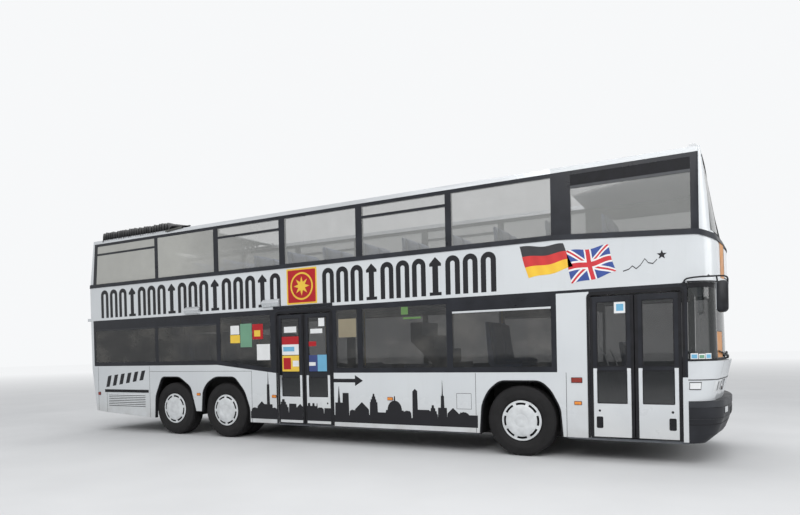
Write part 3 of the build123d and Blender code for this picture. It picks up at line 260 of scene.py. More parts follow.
@finish("tinted_glass", ior=1.52, spec=0.9)
def tinted_pane(f):
    """Tinted side glass, clearer on the upper deck, where a pale painted reflection of the sky grows paler and more
    opaque towards the rear; dust on the lower deck, its paler patches partly painted reflection, and smears.
    """
    upper = upper_deck(f)
    rear = f.span(f.axis("X"), -0.9, -3.3)
    # Painted reflection of the sky on the upper deck's panes, paler towards the rear where the folded roof shades them
    painted_reflection = f.mix(rear, (0.34, 0.345, 0.335), (0.6, 0.6, 0.56))
    # Dust film on the lower deck's panes; its paler patches are partly a painted reflection of the surroundings
    dust = f.noise(1.3, 5.0, 0.65, (1.0, 1.0, 1.6))
    dust = f.ramp(dust, (0.006, 0.007, 0.008), (0.07, 0.066, 0.058), 0.42, 0.7, "EASE")
    smear = f.span(f.noise(2.5, 4.0, 0.6), 0.3, 0.8, 0.0, 0.07)
    face = f.math("ADD", f.span(upper, 0.0, 1.0, 0.5, 0.42), smear)
    # The upper deck's panes grow more opaque towards the rear, so that more of the painted reflection shows
    glaze(f, f.mix(upper, dust, painted_reflection), f.math("ADD", face, f.times(f.times(rear, upper), 0.12)))


@finish("clear_glass", ior=1.52, spec=0.9)
def clear_pane(f):
    upper = upper_deck(f)
    dark = f.tone(2.0, (0.012, 0.015, 0.015), (0.018, 0.022, 0.022))
    # The pale grey on the upper deck is a painted reflection of the sky
    glaze(f, f.mix(upper, dark, (0.2, 0.21, 0.205)), f.span(upper, 0.0, 1.0, 0.46, 0.3), 0.05)


@finish("door_glass", ior=1.52, spec=0.9)
def door_pane(f):
    tone = f.tone(2.5, (0.008, 0.009, 0.01), (0.014, 0.016, 0.017))
    glaze(f, tone, f.span(f.axis("Z"), 1.15, 1.25, 0.86, 0.5))


@finish("lamp_pane", ior=1.5, spec=0.6)
def lamp_cover(f):
    """Clear moulded cover of a headlamp."""
    f.set("Alpha", f.span(f.noise(9.0), 0.3, 0.7, 0.16, 0.24))
    f.set("Base Color", f.tone(5.0, (0.7, 0.73, 0.75), (0.78, 0.8, 0.82)))
    f.rough(6.0, 0.03, 0.08)


@finish("seat_moquette", sheen=0.25, sheen_rough=0.4)
def moquette(f):
    """Short pile seat cloth: dark blue with small flecks in two shades."""
    flecks = f.span(f.cells(60.0, (1.0, 1.0, 0.55)), 0.1, 0.24, 1.0, 0.0)
    base = f.tone(9.0, (0.02, 0.035, 0.095), (0.032, 0.055, 0.14), 4.0)
    f.set("Base Color", f.mix(f.times(flecks, 0.75), base, (0.3, 0.36, 0.52)))
    f.rough(40.0, 0.8, 0.95)
    f.bump(f.noise(420.0, 1.0), 0.35, 0.0008)


@finish("seat_vinyl", coat=0.1)
def vinyl_cloth(f):
    """Weatherproof seat vinyl with a fine grain."""
    f.set("Base Color", f.tone(5.0, (0.022, 0.04, 0.11), (0.036, 0.062, 0.16), 4.0))
    f.rough(18.0, 0.42, 0.6)
    f.bump(f.cells(900.0), 0.25, 0.0004)


@finish("roof_fabric", sheen=0.15, sheen_rough=0.5)
def coated_cloth(f):
    """Black coated fabric with a fine plain weave, with a painted highlight on the crests of its folds."""
    field = f.noise(2.5, 5.0, 0.6)
    painted_fold_highlight = f.ramp(field, (0.07, 0.07, 0.073), (0.135, 0.134, 0.133))
    crease = f.ramp(field, (0.01, 0.01, 0.012), (0.022, 0.022, 0.023))
    # Painted highlight: paler towards the crests of the folds, black in the valleys
    f.set("Base Color", f.mix(f.span(f.axis("Z"), 4.0, 4.11), crease, painted_fold_highlight))
    f.set("Roughness", f.span(field, 0.3, 0.7, 0.62, 0.82))
    f.bump(f.times(f.waves(260.0, "X"), f.waves(260.0, "Y")), 0.3, 0.0006)


@finish("sign_amber")
def display(f):
    """Blank amber sign face with a fine grid of unlit dots."""
    dots = f.span(f.cells(95.0), 0.2, 0.34, 1.0, 0.0)
    tone = f.tone(3.0, (0.5, 0.2, 0.05), (0.62, 0.27, 0.07))
    f.set("Base Color", f.mix(f.times(dots, 0.35), tone, (0.8, 0.42, 0.12)))
    f.rough(8.0, 0.35, 0.5)


def lens(color):
    """Recipe of a moulded lamp lens with fine upright ribs."""

    def recipe(f):
        f.set("Base Color", f.tone(30.0, [0.75 * c for c in color], color))
        f.rough(20.0, 0.08, 0.22)
        f.bump(f.waves(220.0, "X"), 0.25, 0.001)

    return recipe


for name, color in (("dark_red", (0.3, 0.025, 0.012)), ("red", (0.52, 0.012, 0.01)), ("amber", (0.85, 0.27, 0.02)),
                    ("frost", (0.62, 0.65, 0.67))):
    finish("lens_" + name, coat=0.7, coat_rough=0.05)(lens(color))


def creased(f, colour):
    """Printed cloth with soft waves of light."""
    crease = f.add("TexWave", {"Vector": f.place, "Scale": 1.1, "Distortion": 2.0, "Detail": 2.0}).outputs["Fac"]
    f.set("Base Color", f.mix(f.span(crease, 0.0, 1.0, 0.0, 0.3), colour, (1.0, 0.95, 0.85), "SOFT_LIGHT"))
    f.rough(5.0, 0.35, 0.5)


def painted(f, test, source, limit, under, over):
    """Colour over where the source passes the limit, and under elsewhere."""
    return f.mix(f.math(test, source, limit), under, over)


@finish("flag_stripes", coat=0.15)
def flag_stripes(f):
    """Three level bands of a common flag, black, red and gold."""
    f.place = f.add("TexCoord", {}).outputs["UV"]
    bands = painted(f, "GREATER_THAN", f.axis("Y"), 1 / 3, (0.85, 0.5, 0.03), (0.55, 0.02, 0.02))
    creased(f, painted(f, "GREATER_THAN", f.axis("Y"), 2 / 3, bands, (0.014, 0.014, 0.018)))


@finish("flag_crosses", coat=0.15)
def flag_crosses(f):
    """Common flag of upright and diagonal crosses, red and white on blue."""
    f.place = f.add("TexCoord", {}).outputs["UV"]
    wide, tall = (f.math("ABSOLUTE", f.math("SUBTRACT", f.axis(name), 0.5)) for name in "XY")
    diagonal = f.times(f.math("ABSOLUTE", f.math("SUBTRACT", wide, tall)), 0.7)
    upright = f.math("MINIMUM", wide, f.times(tall, 0.62))
    colour = (0.02, 0.055, 0.26)
    for cross, half, over in ((diagonal, 0.07, (0.8, 0.8, 0.8)), (diagonal, 0.026, (0.55, 0.015, 0.025)),
                              (upright, 0.085, (0.8, 0.8, 0.8)), (upright, 0.05, (0.55, 0.015, 0.025))):
        colour = painted(f, "LESS_THAN", cross, half, colour, over)
    creased(f, colour)


def repaint(node, made):
    node.data.materials.clear()
    node.data.materials.append(FINISHES[made])


for made, names in (
        ("white_paint", "skirts rear_wall_lower rear_wall_upper engine_flap front_panel front_band "
                        "front_roof upper_bands"),
        ("black_paint", "lower_frames upper_frames"), ("bumper_plastic", "front_bumper"), ("pale_alloy", "roof_rails"),
        ("moulding_black", "belt_mouldings"), ("roof_fabric", "folded_roof"), ("tinted_glass", "side_glass rear_panes"),
        ("clear_glass", "windscreens"), ("floor_vinyl", "lower_floor upper_floor stairs"),
        ("seat_moquette", "lower_seats"), ("seat_shell", "upper_seats"), ("dash_plastic", "dashboard partition"),
        ("yellow_tube", "handrails"), ("engine_cast", "engine"), ("black_plastic", "mirrors"), ("lamp_red", "lamps"),
        ("chassis_paint", "underframe axles knuckle_left knuckle_right")):
    for name in names.split():
        repaint(NODES[name], made)
for name, node in NODES.items():
    for start, made in (("tyre_", "tyre_rubber"), ("rim_", "wheel_silver"), ("door_", "door_paint")):
        if name.startswith(start):
            repaint(node, "chassis_paint" if name.endswith("_arms") else made)


# Geometry of the pieces
class Shape:
    """Faces of one piece, in metres measured from the front axle, with a finish number for each face."""

    def __init__(self):
        self.points, self.faces, self.numbers, self.number = [], [], [], 0

    def add(self, points, faces):
        first = len(self.points)
        self.points += [tuple(p) for p in points]
        self.faces += [[first + i for i in face] for face in faces]
        self.numbers += [self.number] * len(faces)
        return self

    def use(self, number):
        self.number = number
        return self

    def loft(self, rings):
        """Rings with as many points each, joined along and capped at both ends."""
        n = len(rings[0])
        last = (len(rings) - 1) * n
        faces = [[j * n + i, j * n + (i + 1) % n, (j + 1) * n + (i + 1) % n, (j + 1) * n + i]
                 for j in range(len(rings) - 1) for i in range(n)]
        caps = [list(range(n))[::-1], list(range(last, last + n))]
        return self.add([p for ring in rings for p in ring], faces + caps)

    def prism(self, outline, axis, low, high):
        """Outline in the plane across axis, given a span along it."""
        n = len(outline)
        points = [(d, *p) if axis == "x" else (p[0], d, p[1]) for d in (low, high) for p in outline]
        sides = [[i, (i + 1) % n, n + (i + 1) % n, n + i] for i in range(n)]
        return self.add(points, [list(range(n))[::-1], list(range(n, 2 * n))] + sides)

    def plate(self, outline, layer):
        return self.prism(outline, "y", *layer)

    def box(self, xs, ys, zs):
        return self.prism([(xs[0], zs[0]), (xs[1], zs[0]), (xs[1], zs[1]), (xs[0], zs[1])], "y", *ys)

    def tube(self, path, radius, sides=10):
        """Round bar along a path of points, capped at both ends."""
        path = [Vector(p) for p in path]
        rings = []
        for i, p in enumerate(path):
            along = (path[min(i + 1, len(path) - 1)] - path[max(i - 1, 0)]).normalized()
            across = along.orthogonal().normalized() if not rings else (across - across.dot(along) * along).normalized()
            rings.append([p + spoke for spoke in wheel_of(radius, sides, across, along.cross(across))])
        return self.loft(rings)

    def slab(self, points, n, m=2, loop=False):
        """Two grids of m rows by n points, the second behind the first, joined into a closed slab."""
        behind, last = n * m, (m - 1) * n
        steps = [(i, (i + 1) % n) for i in range(n if loop else n - 1)]
        faces = []
        for row in range(0, last, n):
            for i, k in steps:
                a, b, c, d = row + i, row + k, row + n + k, row + n + i
                faces += [[a, b, c, d], [behind + d, behind + c, behind + b, behind + a]]
            if not loop:
                end = row + n - 1
                faces += [[row, row + n, behind + row + n, behind + row],
                          [end + n, end, behind + end, behind + end + n]]
        for i, k in steps:
            faces += [[k, i, behind + i, behind + k], [last + i, last + k, behind + last + k, behind + last + i]]
        return self.add(points, faces)

    def band(self, line, other, y0, y1, loop=False):
        """Strip between two lines in the side plane that have as many points, from y0 to y1."""
        return self.slab([(x, y, z) for y in (y0, y1) for row in (line, other) for x, z in row], len(line), loop=loop)

    def lathe(self, profile, centre, side, steps, shaped=lambda i, r, w: r):
        """Closed profile of (radius, offset outwards) turned about the cross axis through centre."""
        n = len(profile)
        turns = [2 * math.pi * i / steps for i in range(steps)]
        rings = [[(centre[0] + shaped(i, r, w) * math.cos(a), centre[1] + side * w,
                   centre[2] + shaped(i, r, w) * math.sin(a)) for r, w in profile] for i, a in enumerate(turns)]
        return self.add([p for ring in rings for p in ring],
                        [[i * n + k, i * n + (k + 1) % n, (i + 1) % steps * n + (k + 1) % n, (i + 1) % steps * n + k]
                         for i in range(steps) for k in range(n)])

    def turned(self, profile, origin, along, steps=24):
        """Profile of (radius, distance along) turned about an axis through origin, closed at radius 0."""
        origin, along = Vector(origin), Vector(along).normalized()
        across = along.orthogonal().normalized()
        rows, faces, points = [], [], []
        for r, d in profile:
            ring = wheel_of(r, steps, across, along.cross(across)) if r else [Vector()]
            rows.append(list(range(len(points), len(points) + len(ring))))
            points += [origin + d * along + spoke for spoke in ring]
        for low_ring, high_ring in zip(rows, rows[1:]):
            for k in range(steps):
                m = (k + 1) % steps
                if len(low_ring) == 1:
                    faces.append([low_ring[0], high_ring[k], high_ring[m]])
                elif len(high_ring) == 1:
                    faces.append([low_ring[k], high_ring[0], low_ring[m]])
                else:
                    faces.append([low_ring[k], high_ring[k], high_ring[m], low_ring[m]])
        return self.add(points, faces)

    def front(self, rows, us, zs, proud, sunk):
        """Skin over a part of the rounded front, from sunk below its surface to proud above it."""
        points = [front_at(rows, z, u, out) for out in (proud, -sunk) for z in zs for u in us]
        return self.slab(points, len(us), len(zs))

    def tail(self, ys, zs, proud, sunk):
        """Slab on the rear wall, which leans a little."""
        return self.add([(tail_x(z) + off, y, z) for off in (-proud, sunk) for z in zs for y in ys],
                        [[0, 1, 3, 2], [4, 6, 7, 5], [0, 4, 5, 1], [2, 3, 7, 6], [0, 2, 6, 4], [1, 5, 7, 3]])

    def mirrored(self):
        """The same piece on the other side of the bus."""
        other = Shape()
        other.points = [(x, -y, z) for x, y, z in self.points]
        other.faces = [face[::-1] for face in self.faces]
        other.numbers = list(self.numbers)
        return other

    def join(self, other):
        first = len(self.points)
        self.points += other.points
        self.faces += [[first + i for i in face] for face in other.faces]
        self.numbers += other.numbers
        return self

    def pair(self, name, finishes, slot="body_white", bevel=0.0):
        """The same fitting on both sides of the bus, in one piece."""
        self.join(self.mirrored()).piece(name, finishes, slot=slot, bevel=bevel)

    def piece(self, name, finishes, body="coach", slot="body_white", bevel=0.0, smooth=32.0, merge=True, stands_for=()):
        """Turns the shape into an object that rides on a body."""
        mesh = bpy.data.meshes.new(name)
        mesh.from_pydata([(x + FRONT_AXLE_X, y, z) for x, y, z in self.points], [], self.faces)
        for made in finishes.split():
            mesh.materials.append(FINISHES[made])
        mesh.polygons.foreach_set("material_index", self.numbers)
        made = bmesh.new()
        made.from_mesh(mesh)
        if merge:
            bmesh.ops.remove_doubles(made, verts=made.verts, dist=0.00002)
        bmesh.ops.recalc_face_normals(made, faces=made.faces)
        made.to_mesh(mesh)
        made.free()
        mesh.polygons.foreach_set("use_smooth", [True] * len(mesh.polygons))
        mesh.set_sharp_from_angle(angle=math.radians(smooth))
        return placed(bpy.data.objects.new(name, mesh), body, bevel, stands_for)


def placed(obj, body, bevel=0.0, stands_for=()):
    bpy.context.scene.collection.objects.link(obj)
    if bevel:
        edge = obj.modifiers.new("edges", "BEVEL")
        edge.width = bevel
        edge.segments = 2
        edge.limit_method = "ANGLE"
        edge.angle_limit = math.radians(40)
    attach(obj, body)
    if stands_for:
        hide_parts(*stands_for)
    return obj


def wheel_of(radius, steps, across, other):
    """Spokes of a circle in the plane of two directions."""
    turns = [2 * math.pi * k / steps for k in range(steps)]
    return [radius * (math.cos(a) * across + math.sin(a) * other) for a in turns]


def circle_at(cx, cz, r, a):
    return cx + r * math.cos(a), cz + r * math.sin(a)


def rounded(x0, x1, z0, z1, r, steps=5):
    """Rectangle with round corners."""
    corners = [(x1 - r, z0 + r, -90), (x1 - r, z1 - r, 0), (x0 + r, z1 - r, 90), (x0 + r, z0 + r, 180)]
    return [circle_at(cx, cz, r, math.radians(start + 90 * k / steps))
            for cx, cz, start in corners for k in range(steps + 1)]


def inset(place, by):
    """Span that starts and ends by less than the one given."""
    return place[0] + by, place[1] - by


def about(middle, half):
    return middle - half, middle + half


def on_side(side, low, high):
    """Span across the bus, given as distances from its middle."""
    return sorted((side * low, side * high))


# Wheels
AXLES = {"front": 0.0, "drive": -5.59, "tag": -6.922}
WHEEL_Z, WHEEL_Y, TWIN_PITCH = 0.504, 1.075, 0.335
TYRE_STEPS, RIM_STEPS = 120, 60
TYRE_PROFILE = [
    (0.287, -0.108), (0.3, -0.128), (0.345, -0.142), (0.395, -0.1455), (0.44, -0.143), (0.468, -0.134),
    (0.486, -0.128), (0.492, -0.124), (0.499, -0.106), (0.5015, -0.092), (0.5025, -0.077), (0.489, -0.075),
    (0.489, -0.067), (0.503, -0.065), (0.5037, -0.034), (0.489, -0.032), (0.489, -0.024), (0.504, -0.022),
    (0.504, 0.022), (0.489, 0.024), (0.489, 0.032), (0.5037, 0.034), (0.503, 0.065), (0.489, 0.067), (0.489, 0.075),
    (0.5025, 0.077), (0.5015, 0.092), (0.499, 0.106), (0.492, 0.124), (0.486, 0.128), (0.468, 0.134), (0.462, 0.1375),
    (0.456, 0.1375), (0.44, 0.143), (0.395, 0.1455), (0.372, 0.1455), (0.368, 0.144), (0.345, 0.142),
    (0.318, 0.1365), (0.314, 0.1335), (0.3, 0.128), (0.287, 0.108)]
# Radius and offset outwards of the wheel trim; the slots lie between the two radii that are named
SLOT_IN, SLOT_OUT = 0.226, 0.257
TRIM_PROFILE = [(0.002, 0.16), (0.03, 0.16), (0.088, 0.159), (0.094, 0.1575), (0.1, 0.16), (0.16, 0.158),
                (0.21, 0.152), (0.221, 0.148), (SLOT_IN, 0.1455), (SLOT_OUT, 0.14), (0.264, 0.1385), (0.27, 0.1395),
                (0.281, 0.1395), (0.287, 0.134)]
TRIM_SHEET, TRIM_SLOTS, SLOT_PITCH = 0.004, 8, 15
TRIM_TURN = {"front": math.radians(22.5), "drive": 0.0, "tag": math.radians(9)}  # as the wheels stand in the picture
BARREL = [(0.061, 0.1), (0.262, 0.1), (0.262, 0.128), (0.2855, 0.132), (0.2855, -0.112), (0.268, -0.112),
          (0.268, 0.06), (0.061, 0.06)]
INNER_RIM = [(0.061, 0.04), (0.2855, 0.04), (0.2855, 0.112), (0.268, 0.112), (0.268, 0.055), (0.061, 0.055)]


def tread_notch(i, r, w):
    """Cross grooves in both shoulders, and finer ones in the ribs between."""
    if i % 3 == 0 and r > 0.48 and abs(w) > 0.085:
        return r - 0.005
    if i % 3 == 1 and r > 0.5 and 0.03 < abs(w) < 0.07:
        return r - 0.004
    return r


def tyre(x, y, side):
    return Shape().lathe(TYRE_PROFILE, (x, y, WHEEL_Z), side, TYRE_STEPS, tread_notch)


def trim(x, y, side, turn):
    """Nearly flat pressed wheel trim with a ring of narrow slots, and its dark barrel behind."""
    steps, n = SLOT_PITCH * TRIM_SLOTS, len(TRIM_PROFILE)
    back = steps * n

    def solid(i, k):
        in_slot = SLOT_PITCH * 0.16 <= (i + 0.5) % SLOT_PITCH <= SLOT_PITCH * 0.84
        return not (TRIM_PROFILE[k][0] == SLOT_IN and in_slot)

    turns = [turn + 2 * math.pi * (i + 0.5) / steps for i in range(steps)]
    points = [(x + r * math.cos(a), y + side * (w - drop), WHEEL_Z + r * math.sin(a))
              for drop in (0.0, TRIM_SHEET) for a in turns for r, w in TRIM_PROFILE]
    faces = []
    for i in range(steps):
        j = (i + 1) % steps
        for k in [k for k in range(n - 1) if solid(i, k)]:
            a, b, c, d = i * n + k, i * n + k + 1, j * n + k + 1, j * n + k
            faces += [[a, b, c, d], [back + d, back + c, back + b, back + a]]
            for u, v, clear in ((a, b, not solid(i - 1, k)), (c, d, not solid(j, k)),
                                (b, c, k == n - 2 or not solid(i, k + 1)), (d, a, k > 0 and not solid(i, k - 1))):
                if clear:
                    faces.append([v, u, back + u, back + v])
    faces += [[i * n for i in range(steps)], [back + i * n for i in range(steps)][::-1]]
    return Shape().add(points, faces).use(1).lathe(BARREL, (x, y, WHEEL_Z), side, steps)


for name, axle_x in AXLES.items():
    for hand, side in (("left", 1), ("right", -1)):
        body = f"wheel_{name}_{hand}"
        rubber = tyre(axle_x, side * WHEEL_Y, side)
        rim = trim(axle_x, side * WHEEL_Y, side, TRIM_TURN[name])
        if name == "drive":
            inner_y = side * (WHEEL_Y - TWIN_PITCH)
            rubber.join(tyre(axle_x, inner_y, -side))
            rim.lathe(INNER_RIM, (axle_x, inner_y, WHEEL_Z), side, RIM_STEPS)
        rubber.piece(f"road_tyre_{name}_{hand}", "tyre_rubber", body, "tyre_rubber", smooth=28,
                     stands_for=[f"tyre_{name}_{hand}"])
        rim.piece(f"wheel_trim_{name}_{hand}", "trim_white black_rubber", body, "rim_silver", smooth=25,
                  stands_for=[f"rim_{name}_{hand}"])

# Doors: ends of the opening, spans of the lower and the upper pane, height where black turns to white
DOORS = {"front": (0.957, 2.085, (0.776, 1.212), (1.262, 2.118), 1.24),
         "mid": (-4.33, -3.185, (0.784, 1.115), (1.205, 2.13), 1.15)}
LEAF_OUT, LEAF_IN, LEAF_LOW, LEAF_HIGH = -1.248, -1.208, 0.334, 2.19
EDGE_GAP, CENTRE_GAP, STILE, LIP = 0.006, 0.012, 0.088, 0.04


def door_leaf(door, x_trail, x_lead, toward):
    """Door leaf: black above and white below, rubber lips, two gasketed panes, lock pocket and its round eye."""
    _, _, low_pane, high_pane, split = DOORS[door]
    leaf = Shape()
    whole = (LEAF_LOW, LEAF_HIGH)
    lo, hi = sorted((x_trail, x_lead))
    lips, glass_x = inset((lo, hi), LIP), inset((lo, hi), STILE)
    face, back = LEAF_OUT + 0.002, LEAF_IN
    for number, z0, z1 in ((1, LEAF_LOW, low_pane[0]), (1, low_pane[0], split), (0, split, high_pane[1]),
                           (0, high_pane[1], LEAF_HIGH)):
        beams = [lips] if z0 in (LEAF_LOW, high_pane[1]) else [(lips[0], glass_x[0]), (glass_x[1], lips[1])]
        for beam in beams:
            leaf.use(number).box(beam, (face, back), (z0, z1))
    leaf.use(0).box(glass_x, (face + 0.004, back), (low_pane[1], high_pane[0]))
    leaf.use(2)
    leaf.box((lo, lips[0]), (face - 0.0015, back), whole)
    leaf.box((lips[1], hi), (face - 0.0015, back), whole)
    if toward > 0:
        # The rear leaf's sealing lip reaches behind the meeting edge of the fore one
        leaf.box((hi - 0.012, hi + 0.02), (back + 0.006, back + 0.01), whole)
        leaf.box((hi - 0.012, hi - 0.002), (back, back + 0.006), whole)
    for pane in (low_pane, high_pane):
        leaf.band(rounded(*inset(glass_x, -0.002), *inset(pane, -0.002), 0.014),
                  rounded(*inset(glass_x, 0.01), *inset(pane, 0.01), 0.01), face - 0.0015, face + 0.012, True)
    leaf.use(3)
    for pane in (low_pane, high_pane):
        leaf.box(glass_x, (face + 0.004, face + 0.009), pane)
    leaf.use(2)
    pocket_x = x_trail + toward * (0.115 if door == "front" else 0.1)
    if door == "front":
        hollow = rounded(*about(pocket_x, 0.032), 0.458, 0.592, 0.01)
        leaf.band(rounded(*about(pocket_x, 0.042), 0.448, 0.602, 0.018), hollow, face - 0.003, face + 0.001, True)
        leaf.plate(hollow, (face - 0.0008, face + 0.001))
        leaf.box(about(pocket_x, 0.022), (face - 0.006, face), (0.515, 0.532))
    eye = [(0.001, 0.003), (0.012, 0.003), (0.016, 0.0), (0.001, 0.0)]
    return leaf.lathe(eye, (pocket_x, face, 0.68), -1, 24)


for door, (x0, x1, *_) in DOORS.items():
    middle = (x0 + x1) / 2
    for leaf_name, x_trail, x_lead, toward in (("rear", x0 + EDGE_GAP, middle - CENTRE_GAP / 2, 1),
                                               ("fore", x1 - EDGE_GAP, middle + CENTRE_GAP / 2, -1)):
        body = f"door_{door}_{leaf_name}_leaf"
        door_leaf(door, x_trail, x_lead, toward).piece(
            f"{door}_door_{leaf_name}", "black_paint door_paint black_rubber door_glass", body, "door_white",
            bevel=0.0012, stands_for=[body])

# Prints, seams and fittings on the sides, drawn on the right one: layers from the skin outwards
SKIN = -1.25
PRINT, OVERPRINT, TOP_PRINT = (SKIN, -1.2512), (-1.2508, -1.252), (-1.2516, -1.2526)
SEAM = (-1.2502, -1.2508)
ARCADE_LOW, ARCADE_HIGH, ARCH_WIDTH, ARCH_STROKE = 2.35, 2.93, 0.232, 0.08

arcade = Shape()
for start, count, pitch in ((-8.99, 17, 0.2835), (-3.34, 11, 0.279)):
    for n in range(count):
        x = start + n * pitch
        if n % 4 == 3:
            # A slim pillar with a pointed head after every three arches
            arcade.box((x + 0.065, x + 0.16), PRINT, (2.4, 2.79))
            arcade.plate([(x + 0.015, 2.79), (x + 0.21, 2.79), (x + 0.21, 2.83), (x + 0.1125, 2.93), (x + 0.015, 2.83)],
                         PRINT)
            arcade.box((x + 0.015, x + 0.21), PRINT, (ARCADE_LOW, 2.4))
            continue
        r = ARCH_WIDTH / 2
        bow, inner = [[circle_at(x + r, ARCADE_HIGH - r, reach, math.pi * k / 12) for k in range(13)]
                      for reach in (r, r - ARCH_STROKE)]
        arcade.plate([(x + 2 * r, ARCADE_LOW)] + bow + [(x, ARCADE_LOW), (x + ARCH_STROKE, ARCADE_LOW)] + inner[::-1]
                     + [(x + 2 * r - ARCH_STROKE, ARCADE_LOW)], PRINT)

# Red square with a gold border, a ring and an eight pointed star
BADGE_X, BADGE_Z = (-4.085, -3.452), (2.362, 2.972)
badge = Shape().plate(rounded(*BADGE_X, *BADGE_Z, 0.02), PRINT)
badge.use(1).plate(rounded(*inset(BADGE_X, 0.028), *inset(BADGE_Z, 0.028), 0.012), OVERPRINT)
centre = (sum(BADGE_X) / 2, sum(BADGE_Z) / 2)
badge.use(0).band(*[[circle_at(*centre, r, 2 * math.pi * k / 64) for k in range(64)] for r in (0.235, 0.205)],
                  *TOP_PRINT, True)
badge.plate([circle_at(*centre, (0.165, 0.075)[k % 2], math.pi * k / 8 + math.pi / 2) for k in range(16)], TOP_PRINT)


def banner(name, made, corners, wave, side):
    """Printed waving flag, a fine grid whose UV map runs over the cloth."""
    (ax, az), (bx, bz), (cx, cz), (dx, dz) = corners
    across, down = 36, 20
    n = down + 1
    points, places = [], []
    for u, v in ((i / across, k / down) for i in range(across + 1) for k in range(n)):
        lift = wave * math.sin(2 * math.pi * (u * 1.25 + 0.1)) * (0.35 + 0.65 * u)
        x = (1 - u) * ((1 - v) * cx + v * ax) + u * ((1 - v) * dx + v * bx) + 0.25 * wave * math.sin(6.0 * v + 2.0)
        z = (1 - u) * ((1 - v) * cz + v * az) + u * ((1 - v) * dz + v * bz) + lift
        points.append((x + FRONT_AXLE_X, side * 1.2508, z))
        places.append((u, v))
    faces = [[i * n + k, (i + 1) * n + k, (i + 1) * n + k + 1, i * n + k + 1][::-side]
             for i in range(across) for k in range(down)]
    mesh = bpy.data.meshes.new(name)
    mesh.from_pydata(points, [], faces)
    layer = mesh.uv_layers.new(name="cloth")
    for loop in mesh.loops:
        layer.data[loop.index].uv = places[loop.vertex_index]
    mesh.materials.append(FINISHES[made])
    obj = bpy.data.objects.new(name, mesh)
    shell = obj.modifiers.new("film", "SOLIDIFY")
    shell.thickness = 0.0008
    shell.offset = 1.0
    placed(obj, "coach")


# Middle and half width in metres, height, and outline above it
TOWN = [
    (-4.86, 0.08, 0.52, "tree"), (-4.7, 0.1, 0.6, "gable"), (-4.55, 0.03, 0.99, "spire"),
    (-4.55, 0.09, 0.64, "block"), (-4.42, 0.06, 0.54, "tree"), (-4.22, 0.11, 0.6, "stepped"),
    (-4.02, 0.08, 0.66, "block"), (-3.86, 0.09, 0.58, "gable"), (-3.62, 0.12, 0.63, "battlement"),
    (-3.44, 0.07, 0.56, "tree"), (-3.28, 0.08, 0.6, "block"), (-3.06, 0.075, 0.7, "spire"),
    (-2.93, 0.06, 0.86, "block"), (-2.8, 0.055, 0.55, "tree"), (-2.62, 0.13, 0.6, "gable"),
    (-2.4, 0.07, 0.72, "stepped"), (-2.22, 0.11, 0.56, "block"), (-2.02, 0.16, 0.6, "dome"),
    (-1.8, 0.07, 0.55, "tree"), (-1.66, 0.045, 0.9, "gable"), (-1.52, 0.1, 0.62, "block"),
    (-1.36, 0.08, 0.56, "stepped"), (-1.2, 0.028, 0.84, "spire"), (-1.2, 0.075, 0.66, "block"),
    (-1.03, 0.09, 0.58, "gable"), (-0.86, 0.09, 0.54, "tree"), (-0.72, 0.08, 0.56, "block")]
ABOVE = {
    "block": lambda d, half, x, mid: 0.0,
    "gable": lambda d, half, x, mid: half * 0.9 * (1 - d),
    "stepped": lambda d, half, x, mid: 0.045 * (3 - math.floor(d * 4)),
    "spire": lambda d, half, x, mid: 0.3 * (1 - d / 0.34) if d < 0.34 else 0.0,
    "dome": lambda d, half, x, mid: (0.07 * (d < 0.06)
                                     + (half * 0.95 * math.sqrt(1 - (d / 0.8) ** 2) if d < 0.8 else 0.0)),
    "tree": lambda d, half, x, mid: half * 0.7 * math.sqrt(1 - d * d) + 0.012 * noise.noise((x * 60.0, 1.0, 0.0)),
    "battlement": lambda d, half, x, mid: 0.05 * (int((x - mid + half) / 0.045) % 2)}
SILL_TOP, TOWN_STEP = 0.378, 0.0055


def skyline_height(x):
    """Top of the silhouette of made-up houses, trees, towers and a hall with a dome."""
    top = 0.5 + 0.03 * noise.noise((x * 5.1, 0.0, 3.0)) + 0.014 * noise.noise((x * 31.0, 0.0, 7.0))
    for mid, half, height, kind in TOWN:
        d = abs(x - mid) / half
        if d < 1.0:
            top = max(top, height + ABOVE[kind](d, half, x, mid))
    return top


def silhouette(x0, x1, y0, y1, bottom=SILL_TOP):
    """Plate between the sill strip and the skyline."""
    count = max(2, int((x1 - x0) / TOWN_STEP))
    xs = [x0 + (x1 - x0) * i / count for i in range(count + 1)]
    return Shape().band([(x, bottom) for x in xs], [(x, skyline_height(x)) for x in xs], y0, y1)


ARCH_LINES = [
    [(-0.615, 0.31), (-0.582, 0.73), (-0.484, 0.93), (-0.308, 1.078), (0.292, 1.078), (0.436, 0.951), (0.567, 0.701),
     (0.597, 0.31)],
    [(-7.44, 0.31), (-7.416, 0.744), (-7.228, 1.126), (-6.741, 1.126), (-6.44, 0.935), (-6.306, 0.47)],
    [(-6.165, 0.47), (-6.135, 0.86), (-6.014, 1.017), (-5.808, 1.128), (-5.33, 1.128), (-5.094, 0.873), (-4.969, 0.553),
     (-4.969, 0.31)]]
ARCH_EASE, ARCH_STEPS = 0.085, 6


def corners_of(outline):
    """Each inner corner of an open outline with the smooth curve that replaces it."""
    for before, corner, after in zip(outline, outline[1:], outline[2:]):
        a, b, c = Vector(before), Vector(corner), Vector(after)
        start = b + (a - b).normalized() * min(ARCH_EASE, (a - b).length / 2)
        end = b + (c - b).normalized() * min(ARCH_EASE, (c - b).length / 2)
        shares = [k / ARCH_STEPS for k in range(ARCH_STEPS + 1)]
        yield corner, [tuple((1 - t) ** 2 * start + 2 * t * (1 - t) * b + t * t * end) for t in shares]


